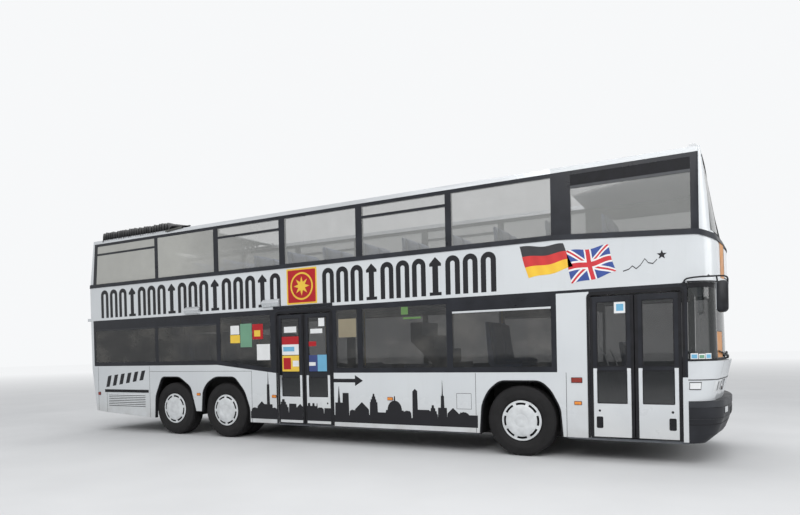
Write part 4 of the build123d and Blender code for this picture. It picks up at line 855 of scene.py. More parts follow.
def inner_side(outline, width):
    """The open outline moved to its inner side."""
    inner = []
    for i, p in enumerate(outline):
        before, after = outline[max(i - 1, 0)], outline[min(i + 1, len(outline) - 1)]
        along = Vector((after[0] - before[0], after[1] - before[1])).normalized()
        inner.append((p[0] + along.y * width, p[1] - along.x * width))
    return inner


seams, webs = Shape(), Shape()
for x, z0, z1 in ((-7.575, 0.31, 1.335), (-4.925, 0.31, 1.235), (-0.666, 0.31, 1.185), (0.645, 0.31, 1.185),
                  (-8.88, 0.385, 0.8), (-9.145, 0.41, 1.335)):
    seams.box(about(x, 0.003), SEAM, (z0, z1))
for x0, x1, z in ((-7.575, -4.925, 1.224), (-0.968, -0.737, 0.65), (-0.968, -0.737, 0.88)):
    seams.box((x0, x1), SEAM, about(z, 0.0026))
for x in (-0.968, -0.737):
    seams.box(about(x, 0.0026), SEAM, (0.65, 0.88))
for outline in ARCH_LINES:
    curved = [outline[0]]
    for corner, curve in corners_of(outline):
        curved += curve
        webs.plate([corner] + curve, (SKIN, -1.24))
    curved.append(outline[-1])
    seams.band(curved, inner_side(curved, 0.02), -1.2525, -1.196)
seams.box((-8.94, -7.61), (SKIN, -1.2545), (0.8, 0.858))
seams.box((-4.98, -0.6), (-1.249, -1.252), (0.3, 0.306))
seams.pair("side_seams", "black_rubber")
webs.pair("arch_corner_webs", "white_paint")
arcade.pair("arcade_print", "print_black")
badge.pair("badge_print", "print_gold print_red")
for hand, side in (("right", -1), ("left", 1)):
    banner(f"striped_flag_{hand}", "flag_stripes",
           ((0.026, 2.95), (0.63, 2.925), (0.149, 2.5), (0.76, 2.6)), 0.02, side)
    banner(f"crossed_flag_{hand}", "flag_crosses",
           ((0.672, 2.83), (1.215, 2.85), (0.735, 2.38), (1.31, 2.49)), 0.022, side)
town = silhouette(-4.958, -4.336, *PRINT).join(silhouette(-3.179, -0.64, *PRINT))
town.join(silhouette(-4.958, -0.64, *PRINT).mirrored()).piece("town_print", "print_black")
for leaf_name, x0, x1 in (("rear", -4.284, -3.804), ("fore", -3.711, -3.231)):
    silhouette(x0, x1, LEAF_OUT + 0.0015, LEAF_OUT + 0.0005, 0.38).piece(
        f"town_print_door_{leaf_name}", "print_black", f"door_mid_{leaf_name}_leaf", "door_white")

ribbon = [(1.4, 2.5), (1.47, 2.52), (1.515, 2.56), (1.56, 2.52), (1.61, 2.56), (1.665, 2.64), (1.705, 2.585),
          (1.76, 2.57), (1.81, 2.62)]
swirl = Shape()
for (xa, za), (xb, zb) in zip(ribbon, ribbon[1:]):
    swirl.plate([(xa, za - 0.007), (xb, zb - 0.007), (xb, zb + 0.007), (xa, za + 0.007)], PRINT)
swirl.plate([circle_at(1.865, 2.672, (0.062, 0.026)[k % 2], math.pi * k / 5 + 0.3) for k in range(10)], PRINT)
swirl.pair("swirl_print", "print_black")
tail_marks = Shape()
for x, low, high in ((0.205 * k, 0.028 * k, 0.02 * k) for k in range(6)):
    tail_marks.plate([(-8.9 + x, 0.9 + low), (-8.79 + x, 0.915 + low), (-8.72 + x, 1.15 + high),
                      (-8.83 + x, 1.135 + high)], PRINT)
tail_marks.pair("tail_marks_print", "print_black")
Shape().plate([(-3.171, 1.032), (-2.742, 1.032), (-2.742, 0.975), (-2.59, 1.0615), (-2.742, 1.152), (-2.742, 1.092),
               (-3.171, 1.092)], PRINT).piece("arrow_print", "print_black")


def sheet_prints(name, rows, body, slot, y0):
    """Plain coloured sheets stuck on glass: spans in x and z with a finish number and a layer."""
    shape = Shape()
    for x0, x1, z0, z1, number, layer in rows:
        out = y0 - 0.0004 * layer
        shape.use(number).box((x0, x1), (out, out - 0.0005), (z0, z1))
    shape.piece(name, "print_red print_yellow print_blue print_green print_white print_black print_pale_blue "
                      "print_cream print_leaf", body, slot)


for name, body, rows in (
        ("door_sheets_rear", "door_mid_rear_leaf", [
            (-4.236, -3.83, 1.5, 1.816, 4, 0), (-4.236, -3.83, 1.68, 1.816, 0, 1), (-4.2, -3.96, 1.56, 1.64, 6, 1),
            (-4.236, -3.83, 1.21, 1.488, 1, 0), (-4.2, -4.04, 1.25, 1.45, 0, 1), (-4.0, -3.87, 1.3, 1.4, 4, 1),
            (-4.172, -3.91, 1.885, 1.986, 4, 0)]),
        ("door_sheets_fore", "door_mid_fore_leaf", [
            (-3.69, -3.48, 1.21, 1.488, 2, 0), (-3.478, -3.28, 1.21, 1.493, 6, 0), (-3.655, -3.52, 1.31, 1.37, 4, 1),
            (-3.614, -3.37, 1.855, 1.931, 4, 0), (-3.446, -3.326, 1.971, 2.109, 4, 0),
            (-3.66, -3.5, 1.64, 1.72, 0, 0)]),
        ("door_sheet_front", "door_front_rear_leaf", [
            (1.277, 1.422, 1.96, 2.113, 4, 0), (1.305, 1.395, 1.99, 2.08, 6, 1)])):
    sheet_prints(name, rows, body, "door_white", LEAF_OUT + 0.006)
sheet_prints("window_sheets", [
    (-5.407, -5.177, 1.734, 1.88, 1, 0), (-5.4, -5.19, 1.89, 2.05, 4, 0), (-5.166, -4.897, 1.655, 2.077, 3, 0),
    (-4.882, -4.639, 1.791, 2.06, 0, 0), (-4.787, -4.49, 1.418, 1.7, 4, 0), (-4.84, -4.7, 1.84, 1.95, 1, 1),
    (-3.04, -2.7, 1.77, 2.07, 7, 0), (-1.872, -1.752, 2.09, 2.208, 8, 0), (-1.84, -1.53, 2.018, 2.046, 8, 0)],
    "coach", "glass_tinted", -1.2481)

# Louvre slats made with Geometry Nodes: one bent slat repeated upwards on both tail skirts
SLATS, SLAT_PITCH, SLAT_LOW, SLAT_X = 7, 0.036, 0.525, (-8.82, -7.71)
slat = Shape().prism([(SKIN, 0.0), (-1.256, 0.006), (-1.256, 0.01), (SKIN, 0.022)], "x", *SLAT_X)
slat.join(slat.mirrored())
seed = bpy.data.meshes.new("slat")
seed.from_pydata([(x + FRONT_AXLE_X, y, z) for x, y, z in slat.points], [], slat.faces)
tree = bpy.data.node_groups.new("repeat_upwards", "GeometryNodeTree")
tree.interface.new_socket("Geometry", in_out="INPUT", socket_type="NodeSocketGeometry")
settings = [(tree.interface.new_socket(name, in_out="INPUT", socket_type="NodeSocket" + kind), value)
            for name, kind, value in (
                ("Slats", "Int", SLATS), ("Pitch", "Float", SLAT_PITCH), ("Lowest slat", "Float", SLAT_LOW),
                ("Finish", "Material", FINISHES["white_paint"]))]
tree.interface.new_socket("Geometry", in_out="OUTPUT", socket_type="NodeSocketGeometry")
entry, leave, line, start, step, copies, real, coat = [tree.nodes.new(kind) for kind in (
    "NodeGroupInput", "NodeGroupOutput", "GeometryNodeMeshLine", "ShaderNodeCombineXYZ", "ShaderNodeCombineXYZ",
    "GeometryNodeInstanceOnPoints", "GeometryNodeRealizeInstances", "GeometryNodeSetMaterial")]
for source, out, target, into in (
        (entry, "Slats", line, "Count"), (entry, "Lowest slat", start, "Z"), (entry, "Pitch", step, "Z"),
        (start, 0, line, "Start Location"), (step, 0, line, "Offset"), (line, 0, copies, "Points"),
        (entry, "Geometry", copies, "Instance"), (copies, 0, real, 0), (real, 0, coat, "Geometry"),
        (entry, "Finish", coat, "Material"), (coat, 0, leave, 0)):
    tree.links.new(source.outputs[out], target.inputs[into])
maker = bpy.data.objects.new("slat_maker", seed)
bpy.context.scene.collection.objects.link(maker)
repeat = maker.modifiers.new("repeat", "NODES")
repeat.node_group = tree
for socket, value in settings:
    repeat[socket.identifier] = value
louvres = bpy.data.meshes.new_from_object(maker.evaluated_get(bpy.context.evaluated_depsgraph_get()))
bpy.data.objects.remove(maker)
placed(bpy.data.objects.new("tail_louvres", louvres), "coach")
gaps = Shape()
for low_edge in (SLAT_LOW + SLAT_PITCH * k for k in range(SLATS)):
    gaps.box(SLAT_X, (SKIN, -1.2506), (low_edge - 0.01, low_edge + 0.002))
gaps.pair("tail_louvre_gaps", "black_rubber")

# Side lamps: black foot, coloured lens
lamps = Shape()
for x, z, w, h, number in (
        (0.785, 1.083, 0.137, 0.063, 1), (0.798, 0.774, 0.091, 0.041, 2), (-2.096, 0.78, 0.091, 0.041, 2),
        (-4.416, 0.78, 0.091, 0.041, 2), (-6.235, 0.79, 0.085, 0.041, 2), (-9.115, 0.766, 0.07, 0.056, 1)):
    lamps.use(0).plate(rounded(*about(x, w / 2 + 0.006), *about(z, h / 2 + 0.006), 0.01), (SKIN, -1.255))
    lamps.use(number).plate(rounded(*about(x, w / 2), *about(z, h / 2), 0.008), (-1.2545, -1.264))
lamps.pair("side_lamps", "black_plastic lens_dark_red lens_amber", "lamp_lens", bevel=0.0025)
hoods = Shape()
for x0, x1, z0, z1 in ((-6.518, -6.135, 2.31, 2.45), (-4.617, -4.243, 2.34, 2.48)):
    low = z1 - 0.075
    hoods.use(0).prism([(SKIN, z1), (-1.29, z1 - 0.03), (-1.315, z1 - 0.062), (-1.315, low), (SKIN, low)], "x", x0, x1)
    hoods.use(1).prism([(SKIN, low), (-1.312, low), (-1.29, z0 + 0.01), (SKIN, z0)], "x", x0 + 0.006, x1 - 0.006)
hoods.piece("side_floodlights", "pale_alloy lens_frost", slot="rail_grey", bevel=0.003)
gutter = Shape().prism([(SKIN, 2.353), (-1.268, 2.345), (-1.27, 2.318), (-1.264, 2.302), (SKIN, 2.3)], "x",
                       -4.388, -3.15)
gutter.piece("middle_door_gutter", "black_paint", slot="frame_black", bevel=0.002)
bars = Shape()
for x0, x1, z, number in ((-9.195, -7.39, 2.095, 0), (-7.298, -5.75, 2.095, 0), (-1.015, 0.452, 2.08, 1)):
    bars.use(number).box((x0, x1), (-1.2495, -1.24), about(z, 0.014))
    bars.use(2).box((x0, x1), (-1.2484, -1.24), (z + 0.014, 2.262))
# Black strip above the bar of the upper deck's foremost window: painted shade of the roof seen through the glass
bars.use(4).box((0.742, 2.2), (-1.2484, -1.24), (3.702, 3.85))
bars.use(3).box((0.742, 2.2), (-1.2515, -1.249), (3.663, 3.701))
bars.pair("hopper_bars_and_painted_shade", "bumper_lip pale_alloy black_paint dash_plastic black_rubber", "frame_black", bevel=0.001)

# Front and rear surfaces, in rows: height, end of the straight side, nose, bow of the nose, half width of its flat part
FLAT = 0.88
PANEL = [(0.825, 2.145, 2.53, 0.09, FLAT), (1.1, 2.145, 2.59, 0.09, FLAT), (1.322, 2.145, 2.64, 0.09, FLAT)]
SCREEN = [(1.322, 2.16, 2.565, 0.09, FLAT), (2.3, 2.16, 2.545, 0.09, FLAT)]
BUMPER = [(0.296, 2.145, 2.4, 0.07, 0.99), (0.4, 2.145, 2.545, 0.085, 0.91), (0.62, 2.145, 2.632, 0.09, FLAT),
          (0.825, 2.145, 2.635, 0.09, FLAT)]
UPPER = [(2.3, 2.145, 2.6, 0.09, FLAT), (2.8, 2.145, 2.59, 0.09, FLAT), (2.99, 2.21, 2.5, 0.07, 0.98),
         (3.97, 2.28, 2.34, 0.025, 1.2)]
TAIL = [(0.308, -9.235), (1.3, -9.372), (2.3, -9.38), (2.99, -9.376), (3.97, -9.22)]
CORNER = [0.0, 0.12, 0.25, 0.38, 0.5, 0.62, 0.75, 0.88]
ROUND_FRONT = CORNER + [1.0, 1.2, 1.4, 1.6, 1.8, 2.0, 2.2, 2.4, 2.6, 2.8, 3.0] + [4.0 - u for u in CORNER[::-1]]


def row_at(rows, z):
    """Measures of a surface at a height, between its rows."""
    z = min(max(z, rows[0][0]), rows[-1][0])
    for low_row, high_row in zip(rows, rows[1:]):
        if z <= high_row[0]:
            t = (z - low_row[0]) / (high_row[0] - low_row[0])
            return [a + (b - a) * t for a, b in zip(low_row[1:], high_row[1:])]


def front_at(rows, z, u, out=0.0):
    """Point of the rounded front; u runs to 1 over the right corner, to 3 over the nose, to 4 over the left one."""
    side, nose, bow, flat = row_at(rows, z)
    nose, flat, half = nose + out, flat + out, 1.25 + out
    if 1.0 < u < 3.0:
        v = u - 2.0
        return (nose - bow * v * v, v * flat, z)
    turn = math.radians(90 * (u if u <= 1.0 else 4.0 - u))
    y = flat + (half - flat) * math.cos(turn)
    return (side + (nose - bow - side) * math.sin(turn), -y if u <= 1.0 else y, z)


def tail_x(z):
    """Place of the rear wall's surface at a height."""
    (z0, x0), (z1, x1) = next(rows for rows in zip(TAIL, TAIL[1:]) if z <= rows[1][0])
    return x0 + (x1 - x0) * (z - z0) / (z1 - z0)


def nose_us(y0, y1, flat=FLAT, n=9):
    """Places on the nose between two measures across."""
    return [2.0 + (y0 + (y1 - y0) * i / (n - 1)) / flat for i in range(n)]


def over(side, us):
    """Places given for the left half of the front, or their mirror image."""
    return us if side > 0 else [4.0 - u for u in us[::-1]]


front = Shape()
front.front(PANEL, ROUND_FRONT, [1.084, 1.094], 0.004, 0.004)
front.front(SCREEN, ROUND_FRONT, [1.323, 1.345], 0.01, 0.004)
front.front(SCREEN, ROUND_FRONT, [2.235, 2.298], 0.006, 0.002)
front.front(UPPER, ROUND_FRONT, [2.302, 2.318], 0.004, 0.003)
for y in (-0.56, 0.56):
    front.front(PANEL, nose_us(*about(y, 0.003), n=2), [0.84, 0.96, 1.086], 0.0012, 0.004)
front.piece("front_seams", "black_rubber", slot="frame_black")

bumper = Shape()
bumper.front(BUMPER, ROUND_FRONT, [0.745, 0.752, 0.815, 0.822], 0.0048, 0.004)
bumper.front(BUMPER, ROUND_FRONT, [0.596, 0.602], 0.006, 0.004)
bumper.use(1).front(BUMPER, ROUND_FRONT, [0.526, 0.538], 0.004, 0.004)
bumper.front(BUMPER, ROUND_FRONT, [0.738, 0.745], 0.002, 0.004)
bumper.front(BUMPER, nose_us(-0.5, 0.5), [0.62, 0.66, 0.7], 0.003, 0.006)
bumper.piece("bumper_bands", "bumper_lip black_rubber", slot="bumper_grey", bevel=0.003)

# Headlamps: dark housing, pale cover with slots, round reflector and its projector, amber strip and clear pane
LAMP_Y, LAMP_Z, LAMP_R = 0.65, 1.002, 0.056
REFLECTOR = [(0.0, -0.036), (LAMP_R * 0.5, -0.03), (LAMP_R * 0.85, -0.016), (LAMP_R, -0.004), (LAMP_R + 0.006, -0.004),
             (LAMP_R + 0.006, -0.012), (LAMP_R * 0.9, -0.026), (0.0, -0.039)]
PROJECTOR = [(0.0, -0.01), (LAMP_R * 0.34, -0.013), (LAMP_R * 0.42, -0.022), (LAMP_R * 0.36, -0.034), (0.0, -0.034)]
lights = Shape()
for side in BOTH:
    housing = [2.0 + y / FLAT for y in (0.562, 0.68, 0.8, 0.88)] + [3.08, 3.17, 3.26, 3.345]
    lights.use(0).front(PANEL, over(side, housing), [0.932, 1.0, 1.073], -0.04, 0.0445)
    cover = [2.0 + 0.745 / FLAT, 2.92, 3.0, 3.08, 3.17, 3.26, 3.362]
    lights.use(4).front(PANEL, over(side, cover), [0.926, 1.0, 1.079], 0.0026, 0.03)
    for middle, half in ((2.905, 0.016), (3.04, 0.02), (3.18, 0.02)):
        slot = over(side, [middle - half, middle, middle + half])
        lights.use(0).front(PANEL, slot, [0.944, 0.952, 1.05, 1.058], 0.0036, 0.002)
    bulb = (front_at(PANEL, 1.0, 2.0 + side * LAMP_Y / FLAT)[0], side * LAMP_Y, LAMP_Z)
    lights.use(1).turned(REFLECTOR, bulb, (1, 0, 0), 28)
    lights.use(2).turned(PROJECTOR, bulb, (1, 0, 0), 20)
    for number, ys, zs, proud, sunk in ((3, (0.714, 0.726, 0.738), [0.945, 1.0, 1.06], -0.006, 0.036),
                                        (5, (0.564, 0.65, 0.743), [0.934, 1.0, 1.071], -0.0005, 0.003)):
        lights.use(number).front(PANEL, sorted(2.0 + side * y / FLAT for y in ys), zs, proud, sunk)
lights.piece("headlamps", "black_plastic chrome lens_frost lens_amber trim_white lamp_pane", slot="lamp_lens",
             bevel=0.001, stands_for=["lamps"])

fog = Shape()
for side in BOTH:
    for number, (u0, u1) in enumerate(((2.8, 3.06), (2.82, 3.04))):
        us = over(side, [u0 + (u1 - u0) * i / 5 for i in range(6)])
        grow = 0.006 * number
        fog.use(number).front(BUMPER, us, [0.655 + grow, 0.7, 0.738 - grow], 0.002 + 0.003 * number, 0.004)
fog.use(2).front(BUMPER, nose_us(-0.28, 0.28), [0.405, 0.47, 0.53], 0.004, 0.006)
fog.use(3).front(BUMPER, nose_us(-0.26, 0.26), [0.413, 0.47, 0.522], 0.0065, 0.0)
fog.piece("fog_lamps_and_plate", "black_plastic lens_frost black_rubber print_white", slot="lamp_lens", bevel=0.0015)

badges = Shape()
badges.front(PANEL, [0.022, 0.09, 0.15, 0.21, 0.282], [0.966, 1.01, 1.062], 0.0022, 0.002)
badges.use(1).front(PANEL, [0.034, 0.09, 0.15, 0.21, 0.27], [0.976, 1.01, 1.052], 0.0036, 0.0)
badges.piece("fleet_plate", "black_rubber print_white", bevel=0.0004)

sign = Shape().box((2.47, 2.5), (-0.79, 0.79), (2.405, 2.765))
sign.use(3).front(UPPER, nose_us(-0.6, 0.6, n=13), [2.395, 2.6, 2.775], 0.003, 0.006)
for side in BOTH:
    sign.use(1).front(UPPER, nose_us(*on_side(side, 0.618, 0.832), n=4), [2.37, 2.6, 2.8, 2.88], 0.004, 0.01)
    sign.use(2).front(UPPER, nose_us(*about(side * 0.606, 0.006), n=3), [2.39, 2.6, 2.78], 0.005, 0.012)
for z in (2.388, 2.782):
    sign.use(2).front(UPPER, nose_us(-0.612, 0.612, n=13), about(z, 0.006), 0.005, 0.012)
sign.piece("destination_sign", "black_plastic sign_amber black_rubber print_white", slot="frame_black", bevel=0.001)

# Blank papers in the lower corner of the windscreen, with a dark edged amber board above them
notices = Shape()
for number, u0, u1, z1 in ((1, 0.03, 0.2, 1.42), (2, 0.215, 0.375, 1.412), (1, 0.39, 0.56, 1.418)):
    middle = (u0 + u1) / 2
    notices.use(0).front(SCREEN, [u0, middle, u1], [1.348, z1], 0.0016, 0.002)
    notices.use(number).front(SCREEN, [u0 + 0.02, middle, u1 - 0.02], [1.358, z1 - 0.014], 0.0026, 0.001)
board = [0.94, 1.0, 1.1, 1.2, 1.3]
notices.use(4).front(SCREEN, [0.86, *board, 1.36], [1.345, 1.52, 1.7], 0.0016, 0.002)
notices.use(3).front(SCREEN, [0.885, *board, 1.335], [1.358, 1.52, 1.687], 0.0026, 0.001)
notices.piece("blank_notices", "print_white print_pale_blue print_green sign_amber print_black")

corners = Shape()
for side in BOTH:
    corners.use(0).plate([(-9.3, 3.018), (-9.238, 3.018), (-9.144, 3.904), (-9.17, 3.904)],
                         on_side(side, 1.25, 1.2512))
    corners.use(1).plate([(-9.244, 3.018), (-9.14, 3.018), (-9.048, 3.904), (-9.15, 3.904)],
                         on_side(side, 1.2484, 1.2506))
corners.piece("rear_corner_films", "white_paint black_paint")

upper_seal = Shape()
for zs in ((2.915, 2.945), (3.845, 3.872)):
    upper_seal.front(UPPER, [0.86, 1.0] + nose_us(-0.95, 0.95, 0.98, 13) + [3.0, 3.14], zs, 0.006, 0.006)
upper_seal.front(UPPER, nose_us(-0.022, 0.022, 1.0, 3), [2.945, 3.3, 3.6, 3.845], 0.005, 0.01)
upper_seal.piece("upper_screen_seal", "black_rubber", slot="frame_black")

dome = Shape()
for y in (-1.12, 1.12):
    dome.turned([(0.0, 0.072), (0.024, 0.069), (0.046, 0.056), (0.06, 0.036), (0.066, 0.014), (0.068, 0.0), (0.0, 0.0)],
                (2.228, y, 3.97), (0, 0, 1), 28)
dome.piece("roof_corner_domes", "lining_grey", slot="rail_grey")

WIPER_FOOT_Z = 1.352


def wiper(y_foot, y_tip, z_tip):
    """Wiper parked on the lower windscreen: spindle cap, tapered arm, blade bridge and blade."""

    def on_screen(y, z, out):
        return front_at(SCREEN, z, 2.0 + y / FLAT, out)

    foot, tip = on_screen(y_foot, WIPER_FOOT_Z, 0.03), on_screen(y_tip, z_tip, 0.034)
    middle = on_screen(y_foot + 0.45 * (y_tip - y_foot), WIPER_FOOT_Z + 0.45 * (z_tip - WIPER_FOOT_Z), 0.042)
    cap = [(0.0, 0.014), (0.014, 0.012), (0.022, 0.0), (0.024, -0.02), (0.0, -0.02)]
    shape = Shape().turned(cap, foot, (1, 0, 0), 16)
    shape.tube([foot, middle, tip], 0.0085, 8)
    along = (Vector(tip) - Vector(foot)).normalized()
    blade = (-0.36, -0.18, 0.0, 0.18, 0.36)
    for places, out, radius, sides in ((blade, 0.018, 0.006, 8), ((-0.22, -0.1, 0.0, 0.1, 0.22), 0.026, 0.006, 8),
                                       (blade, 0.008, 0.0042, 6)):
        shape.tube([on_screen(y_tip + along.y * d, z_tip + along.z * d, out) for d in places], radius, sides)
    return shape


wiper(-0.06, -0.54, 1.405).join(wiper(0.76, 0.28, 1.395)).piece("wipers", "black_plastic", slot="frame_black")

MIRROR_Y, HEAD_TOP, HEAD_X = 1.335, 2.288, (2.468, 2.598)


def mirror_unit(side, z0):
    """Bent tube from the front corner with a round cornered head, and the glass on its rear face."""
    y = side * MIRROR_Y
    stalk = [(2.112, 1.258, 2.296), (2.116, 1.274, 2.318), (2.128, 1.284, 2.336), (2.15, 1.296, 2.346),
             (2.22, 1.324, 2.352), (2.3, MIRROR_Y, 2.354), (2.5, MIRROR_Y, 2.35), (2.56, MIRROR_Y, 2.344),
             (2.584, MIRROR_Y, 2.33), (2.592, MIRROR_Y, 2.306), (2.59, MIRROR_Y, 2.24)]
    shape = Shape().tube([(px, side * py, pz) for px, py, pz in stalk], 0.01, 12)
    shape.box((2.094, 2.13), on_side(side, 1.25, 1.266), (2.27, 2.31))
    shape.tube([(2.4, y, 2.352), (2.392, side * 1.262, 2.372), (2.38, side * 1.2, 2.38)], 0.008, 10)
    shape.tube([(2.47, y, 2.35), (2.476, y, 2.326), (2.486, y, 2.262)], 0.009, 10)
    head = rounded(*HEAD_X, z0, HEAD_TOP, 0.05, 6)
    cx, cz = sum(HEAD_X) / 2, (z0 + HEAD_TOP) / 2
    y0, y1 = about(y, 0.092)
    rings = []
    for place, shrink in ((y0, 0.016), (y0 + 0.008, 0.005), (y0 + 0.024, 0.0), (y1 - 0.024, 0.0), (y1 - 0.008, 0.005),
                          (y1, 0.016)):
        narrow, low = 1 - shrink / 0.053, 1 - shrink / 0.15
        rings.append([(cx + (px - cx) * narrow, place, cz + (pz - cz) * low) for px, pz in head])
    shape.loft(rings)
    return shape.use(1).box((2.4655, 2.4695), about(y, 0.078), (z0 + 0.03, HEAD_TOP - 0.03))


mirror_unit(-1, 1.912).join(mirror_unit(1, 2.05)).piece(
    "mirror_heads", "black_plastic mirror_glass", slot="mirror_black", stands_for=["mirrors"])

# Rear end
REARWARD = (-1, 0, 0)
ROUND_REFLECTOR = [(0.0, 0.008), (0.03, 0.006), (0.034, 0.0), (0.036, -0.006), (0.0, -0.006)]
LAMP_COLLAR = [(0.0, 0.012), (0.026, 0.012), (0.028, 0.0), (0.028, -0.03), (0.0, -0.03)]
LAMP_DOME = [(0.0, 0.036), (0.014, 0.034), (0.023, 0.024), (0.025, 0.01), (0.0, 0.01)]
rear = Shape()
for side in BOTH:
    y0, y1 = on_side(side, 0.908, 1.137)
    rear.use(0).tail((y0, y1), (0.903, 1.307), -0.006, 0.038)
    for z0, z1, number in ((0.916, 1.004, 1), (1.012, 1.1, 4), (1.108, 1.196, 2), (1.204, 1.294, 1)):
        rear.use(number).tail((y0 + 0.012, y1 - 0.012), (z0, z1), -0.0005, 0.01)
    for number, y, z, profile in (
            (1, 1.02, 0.66, ROUND_REFLECTOR), (1, 1.02, 0.56, ROUND_REFLECTOR),
            (3, 1.165, 1.6, LAMP_COLLAR), (1, 1.165, 1.6, LAMP_DOME),
            (3, 1.165, 1.225, LAMP_COLLAR), (1, 1.165, 1.225, LAMP_DOME)):
        rear.use(number).turned(profile, (tail_x(z), side * y, z), REARWARD, 20)
    rear.use(3).tail(on_side(side, 1.0, 1.14), (3.88, 3.925), -0.001, 0.004)
    rear.use(1).tail(on_side(side, 1.005, 1.135), (3.884, 3.921), 0.003, 0.0)
rear.use(0).tail((-0.28, 0.28), (1.35, 1.462), 0.004, 0.002)
rear.use(5).tail((-0.262, 0.262), (1.358, 1.454), 0.0055, -0.003)
rear.use(0)
for y in (-0.32, 0.32):
    rear.tail(about(y, 0.022), (1.38, 1.43), 0.014, 0.002)
for zs in ((1.452, 1.48), (2.18, 2.208), (3.062, 3.09), (3.82, 3.848)):
    rear.tail((-0.928, 0.928), zs, 0.004, 0.006)
for zs in ((1.48, 2.18), (3.09, 3.82)):
    for y in (-0.914, 0.914):
        rear.tail(about(y, 0.014), zs, 0.004, 0.006)
rear.box((-9.53, -9.52), (-1.19, 1.19), (2.3, 2.33))
rear.piece("rear_lamps_and_plate", "black_rubber lens_red lens_amber black_plastic lens_frost print_white",
           slot="lamp_lens", bevel=0.0015)

flap = Shape()
for z in (0.64 + 0.034 * k for k in range(9)):
    flap.tail((-0.6, 0.6), (z, z + 0.019), 0.006, 0.001)
flap.use(1).tail((-0.615, 0.615), (0.628, 0.952), 0.0004, 0.002)
for y in (-0.66, 0.66):
    flap.turned([(0.0, 0.006), (0.02, 0.005), (0.026, 0.0), (0.0, -0.002)], (tail_x(0.56), y, 0.56), REARWARD, 20)
flap.tail((-0.16, 0.16), (1.02, 1.075), 0.003, 0.002)
flap.piece("flap_louvres", "white_paint black_plastic", "flap", "body_white")

# Folded fabric roof
CLOTH_THICK, HEM_LOW, CLOTH_LOW, CLOTH_FRONT, CLOTH_RISE = 0.0028, 3.929, 3.984, -6.396, 0.146
FOLDS, FOLD_X, FOLD_STEPS = 27, (-8.872, -6.925), 12
# Half of the places across: distance from the middle, share of the drop over the roof rail
HEM = [(0.0, 0.0), (0.3, 0.0), (0.6, 0.0), (0.85, 0.0), (1.05, 0.0), (1.16, 0.0), (1.215, 0.05), (1.245, 0.3),
       (1.2575, 0.6), (1.263, 1.0)]
wobble = random.Random(41)

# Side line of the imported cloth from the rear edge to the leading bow, one rounded ridge to a fold
line = [(-8.876, CLOTH_LOW), (-8.878, 4.01)]
pitch = (FOLD_X[1] - FOLD_X[0]) / FOLDS
for k in range(FOLDS):
    crest = 4.122 + wobble.uniform(-0.01, 0.008)
    valley = 4.012 + wobble.uniform(-0.004, 0.014)
    lean = wobble.uniform(-0.006, 0.01)
    for t in (i / FOLD_STEPS for i in range(FOLD_STEPS)):
        rise = (0.5 - 0.5 * math.cos(2 * math.pi * t)) ** 0.62
        line.append((FOLD_X[0] + pitch * (k + t) + lean * rise, valley + (crest - valley) * rise))
line += [(-6.925, 4.03), (-6.885, 4.062), (-6.83, 4.078), (-6.74, 4.07), (-6.64, 4.05), (-6.54, 4.03),
         (-6.45, 4.012), (-6.405, 3.998), (CLOTH_FRONT, 3.982)]
normals = []
for before, after in zip(line[:1] + line[:-1], line[1:] + line[-1:]):
    dx, dz = after[0] - before[0], after[1] - before[1]
    normals.append((-dz / math.hypot(dx, dz), dx / math.hypot(dx, dz)))
across = [(-y, fall) for y, fall in HEM[:0:-1]] + HEM
points = []
for skin in (0.0, CLOTH_THICK):
    for y, fall in across:
        for (x, z), (nx, nz) in zip(line, normals):
            lift = (z - CLOTH_LOW) / CLOTH_RISE
            ease = min(1.0, max(0.0, (CLOTH_FRONT - x) / 0.32))
            slump = min(ease * fall * (0.105 * (1.0 - lift) + 0.01 * lift), z - HEM_LOW)
            drift = 0.0055 * noise.noise(Vector((x * 9.0, y * 2.2, z * 6.0))) * min(1.0, lift * 1.5)
            points.append((x + drift * 1.5 - nx * skin, y, z - slump + drift * 0.5 - nz * skin))
roof_cloth = Shape().slab(points, len(line), len(across)).piece(
    "roof_cloth", "roof_fabric", slot="roof_cloth", smooth=50.0, stands_for=["folded_roof"])

bows = Shape()
for x in (-8.8 + 0.139 * k for k in range(14)):
    bows.use(0).tube([(x, -1.196, 3.998), (x, 1.196, 3.998)], 0.011, 8)
    for side in BOTH:
        bows.use(1).box(about(x, 0.03), on_side(side, 1.192, 1.216), (3.971, 4.008))
bows.use(0).tube([(-6.402, -1.212, 3.985), (-6.402, 1.212, 3.985)], 0.014, 10)
for side in BOTH:
    bows.use(1).box((-6.45, -6.392), on_side(side, 1.19, 1.222), (3.971, 4.012))
    bows.use(2).plate([(-7.0, 3.934), (-6.56, 3.966), (-6.545, 3.981), (-6.556, 3.996), (-6.576, 3.999),
                       (-7.004, 3.966)], on_side(side, 1.2655, 1.273))
bows.piece("roof_bows", "pale_alloy black_plastic engine_cast", slot="rail_grey", bevel=0.002)
straps = Shape()
STRAP_TOP = [(-8.884, 3.975), (-8.886, 4.06), (-8.85, 4.128), (-8.7, 4.1335), (-7.9, 4.1345), (-7.1, 4.1335),
             (-6.935, 4.124), (-6.905, 4.072), (-6.906, 3.975)]
STRAP_LOW = [(-8.881, 3.975), (-8.883, 4.058), (-8.848, 4.126), (-8.7, 4.1315), (-7.9, 4.1325), (-7.1, 4.1315),
             (-6.937, 4.122), (-6.908, 4.071), (-6.909, 3.975)]
for y in (-0.78, 0.78):
    straps.use(0).plate(STRAP_TOP + STRAP_LOW[::-1], about(y, 0.022))
    straps.use(1).box((-6.916, -6.902), about(y, 0.032), (3.99, 4.03))
straps.piece("roof_straps", "webbing chrome", slot="roof_cloth")


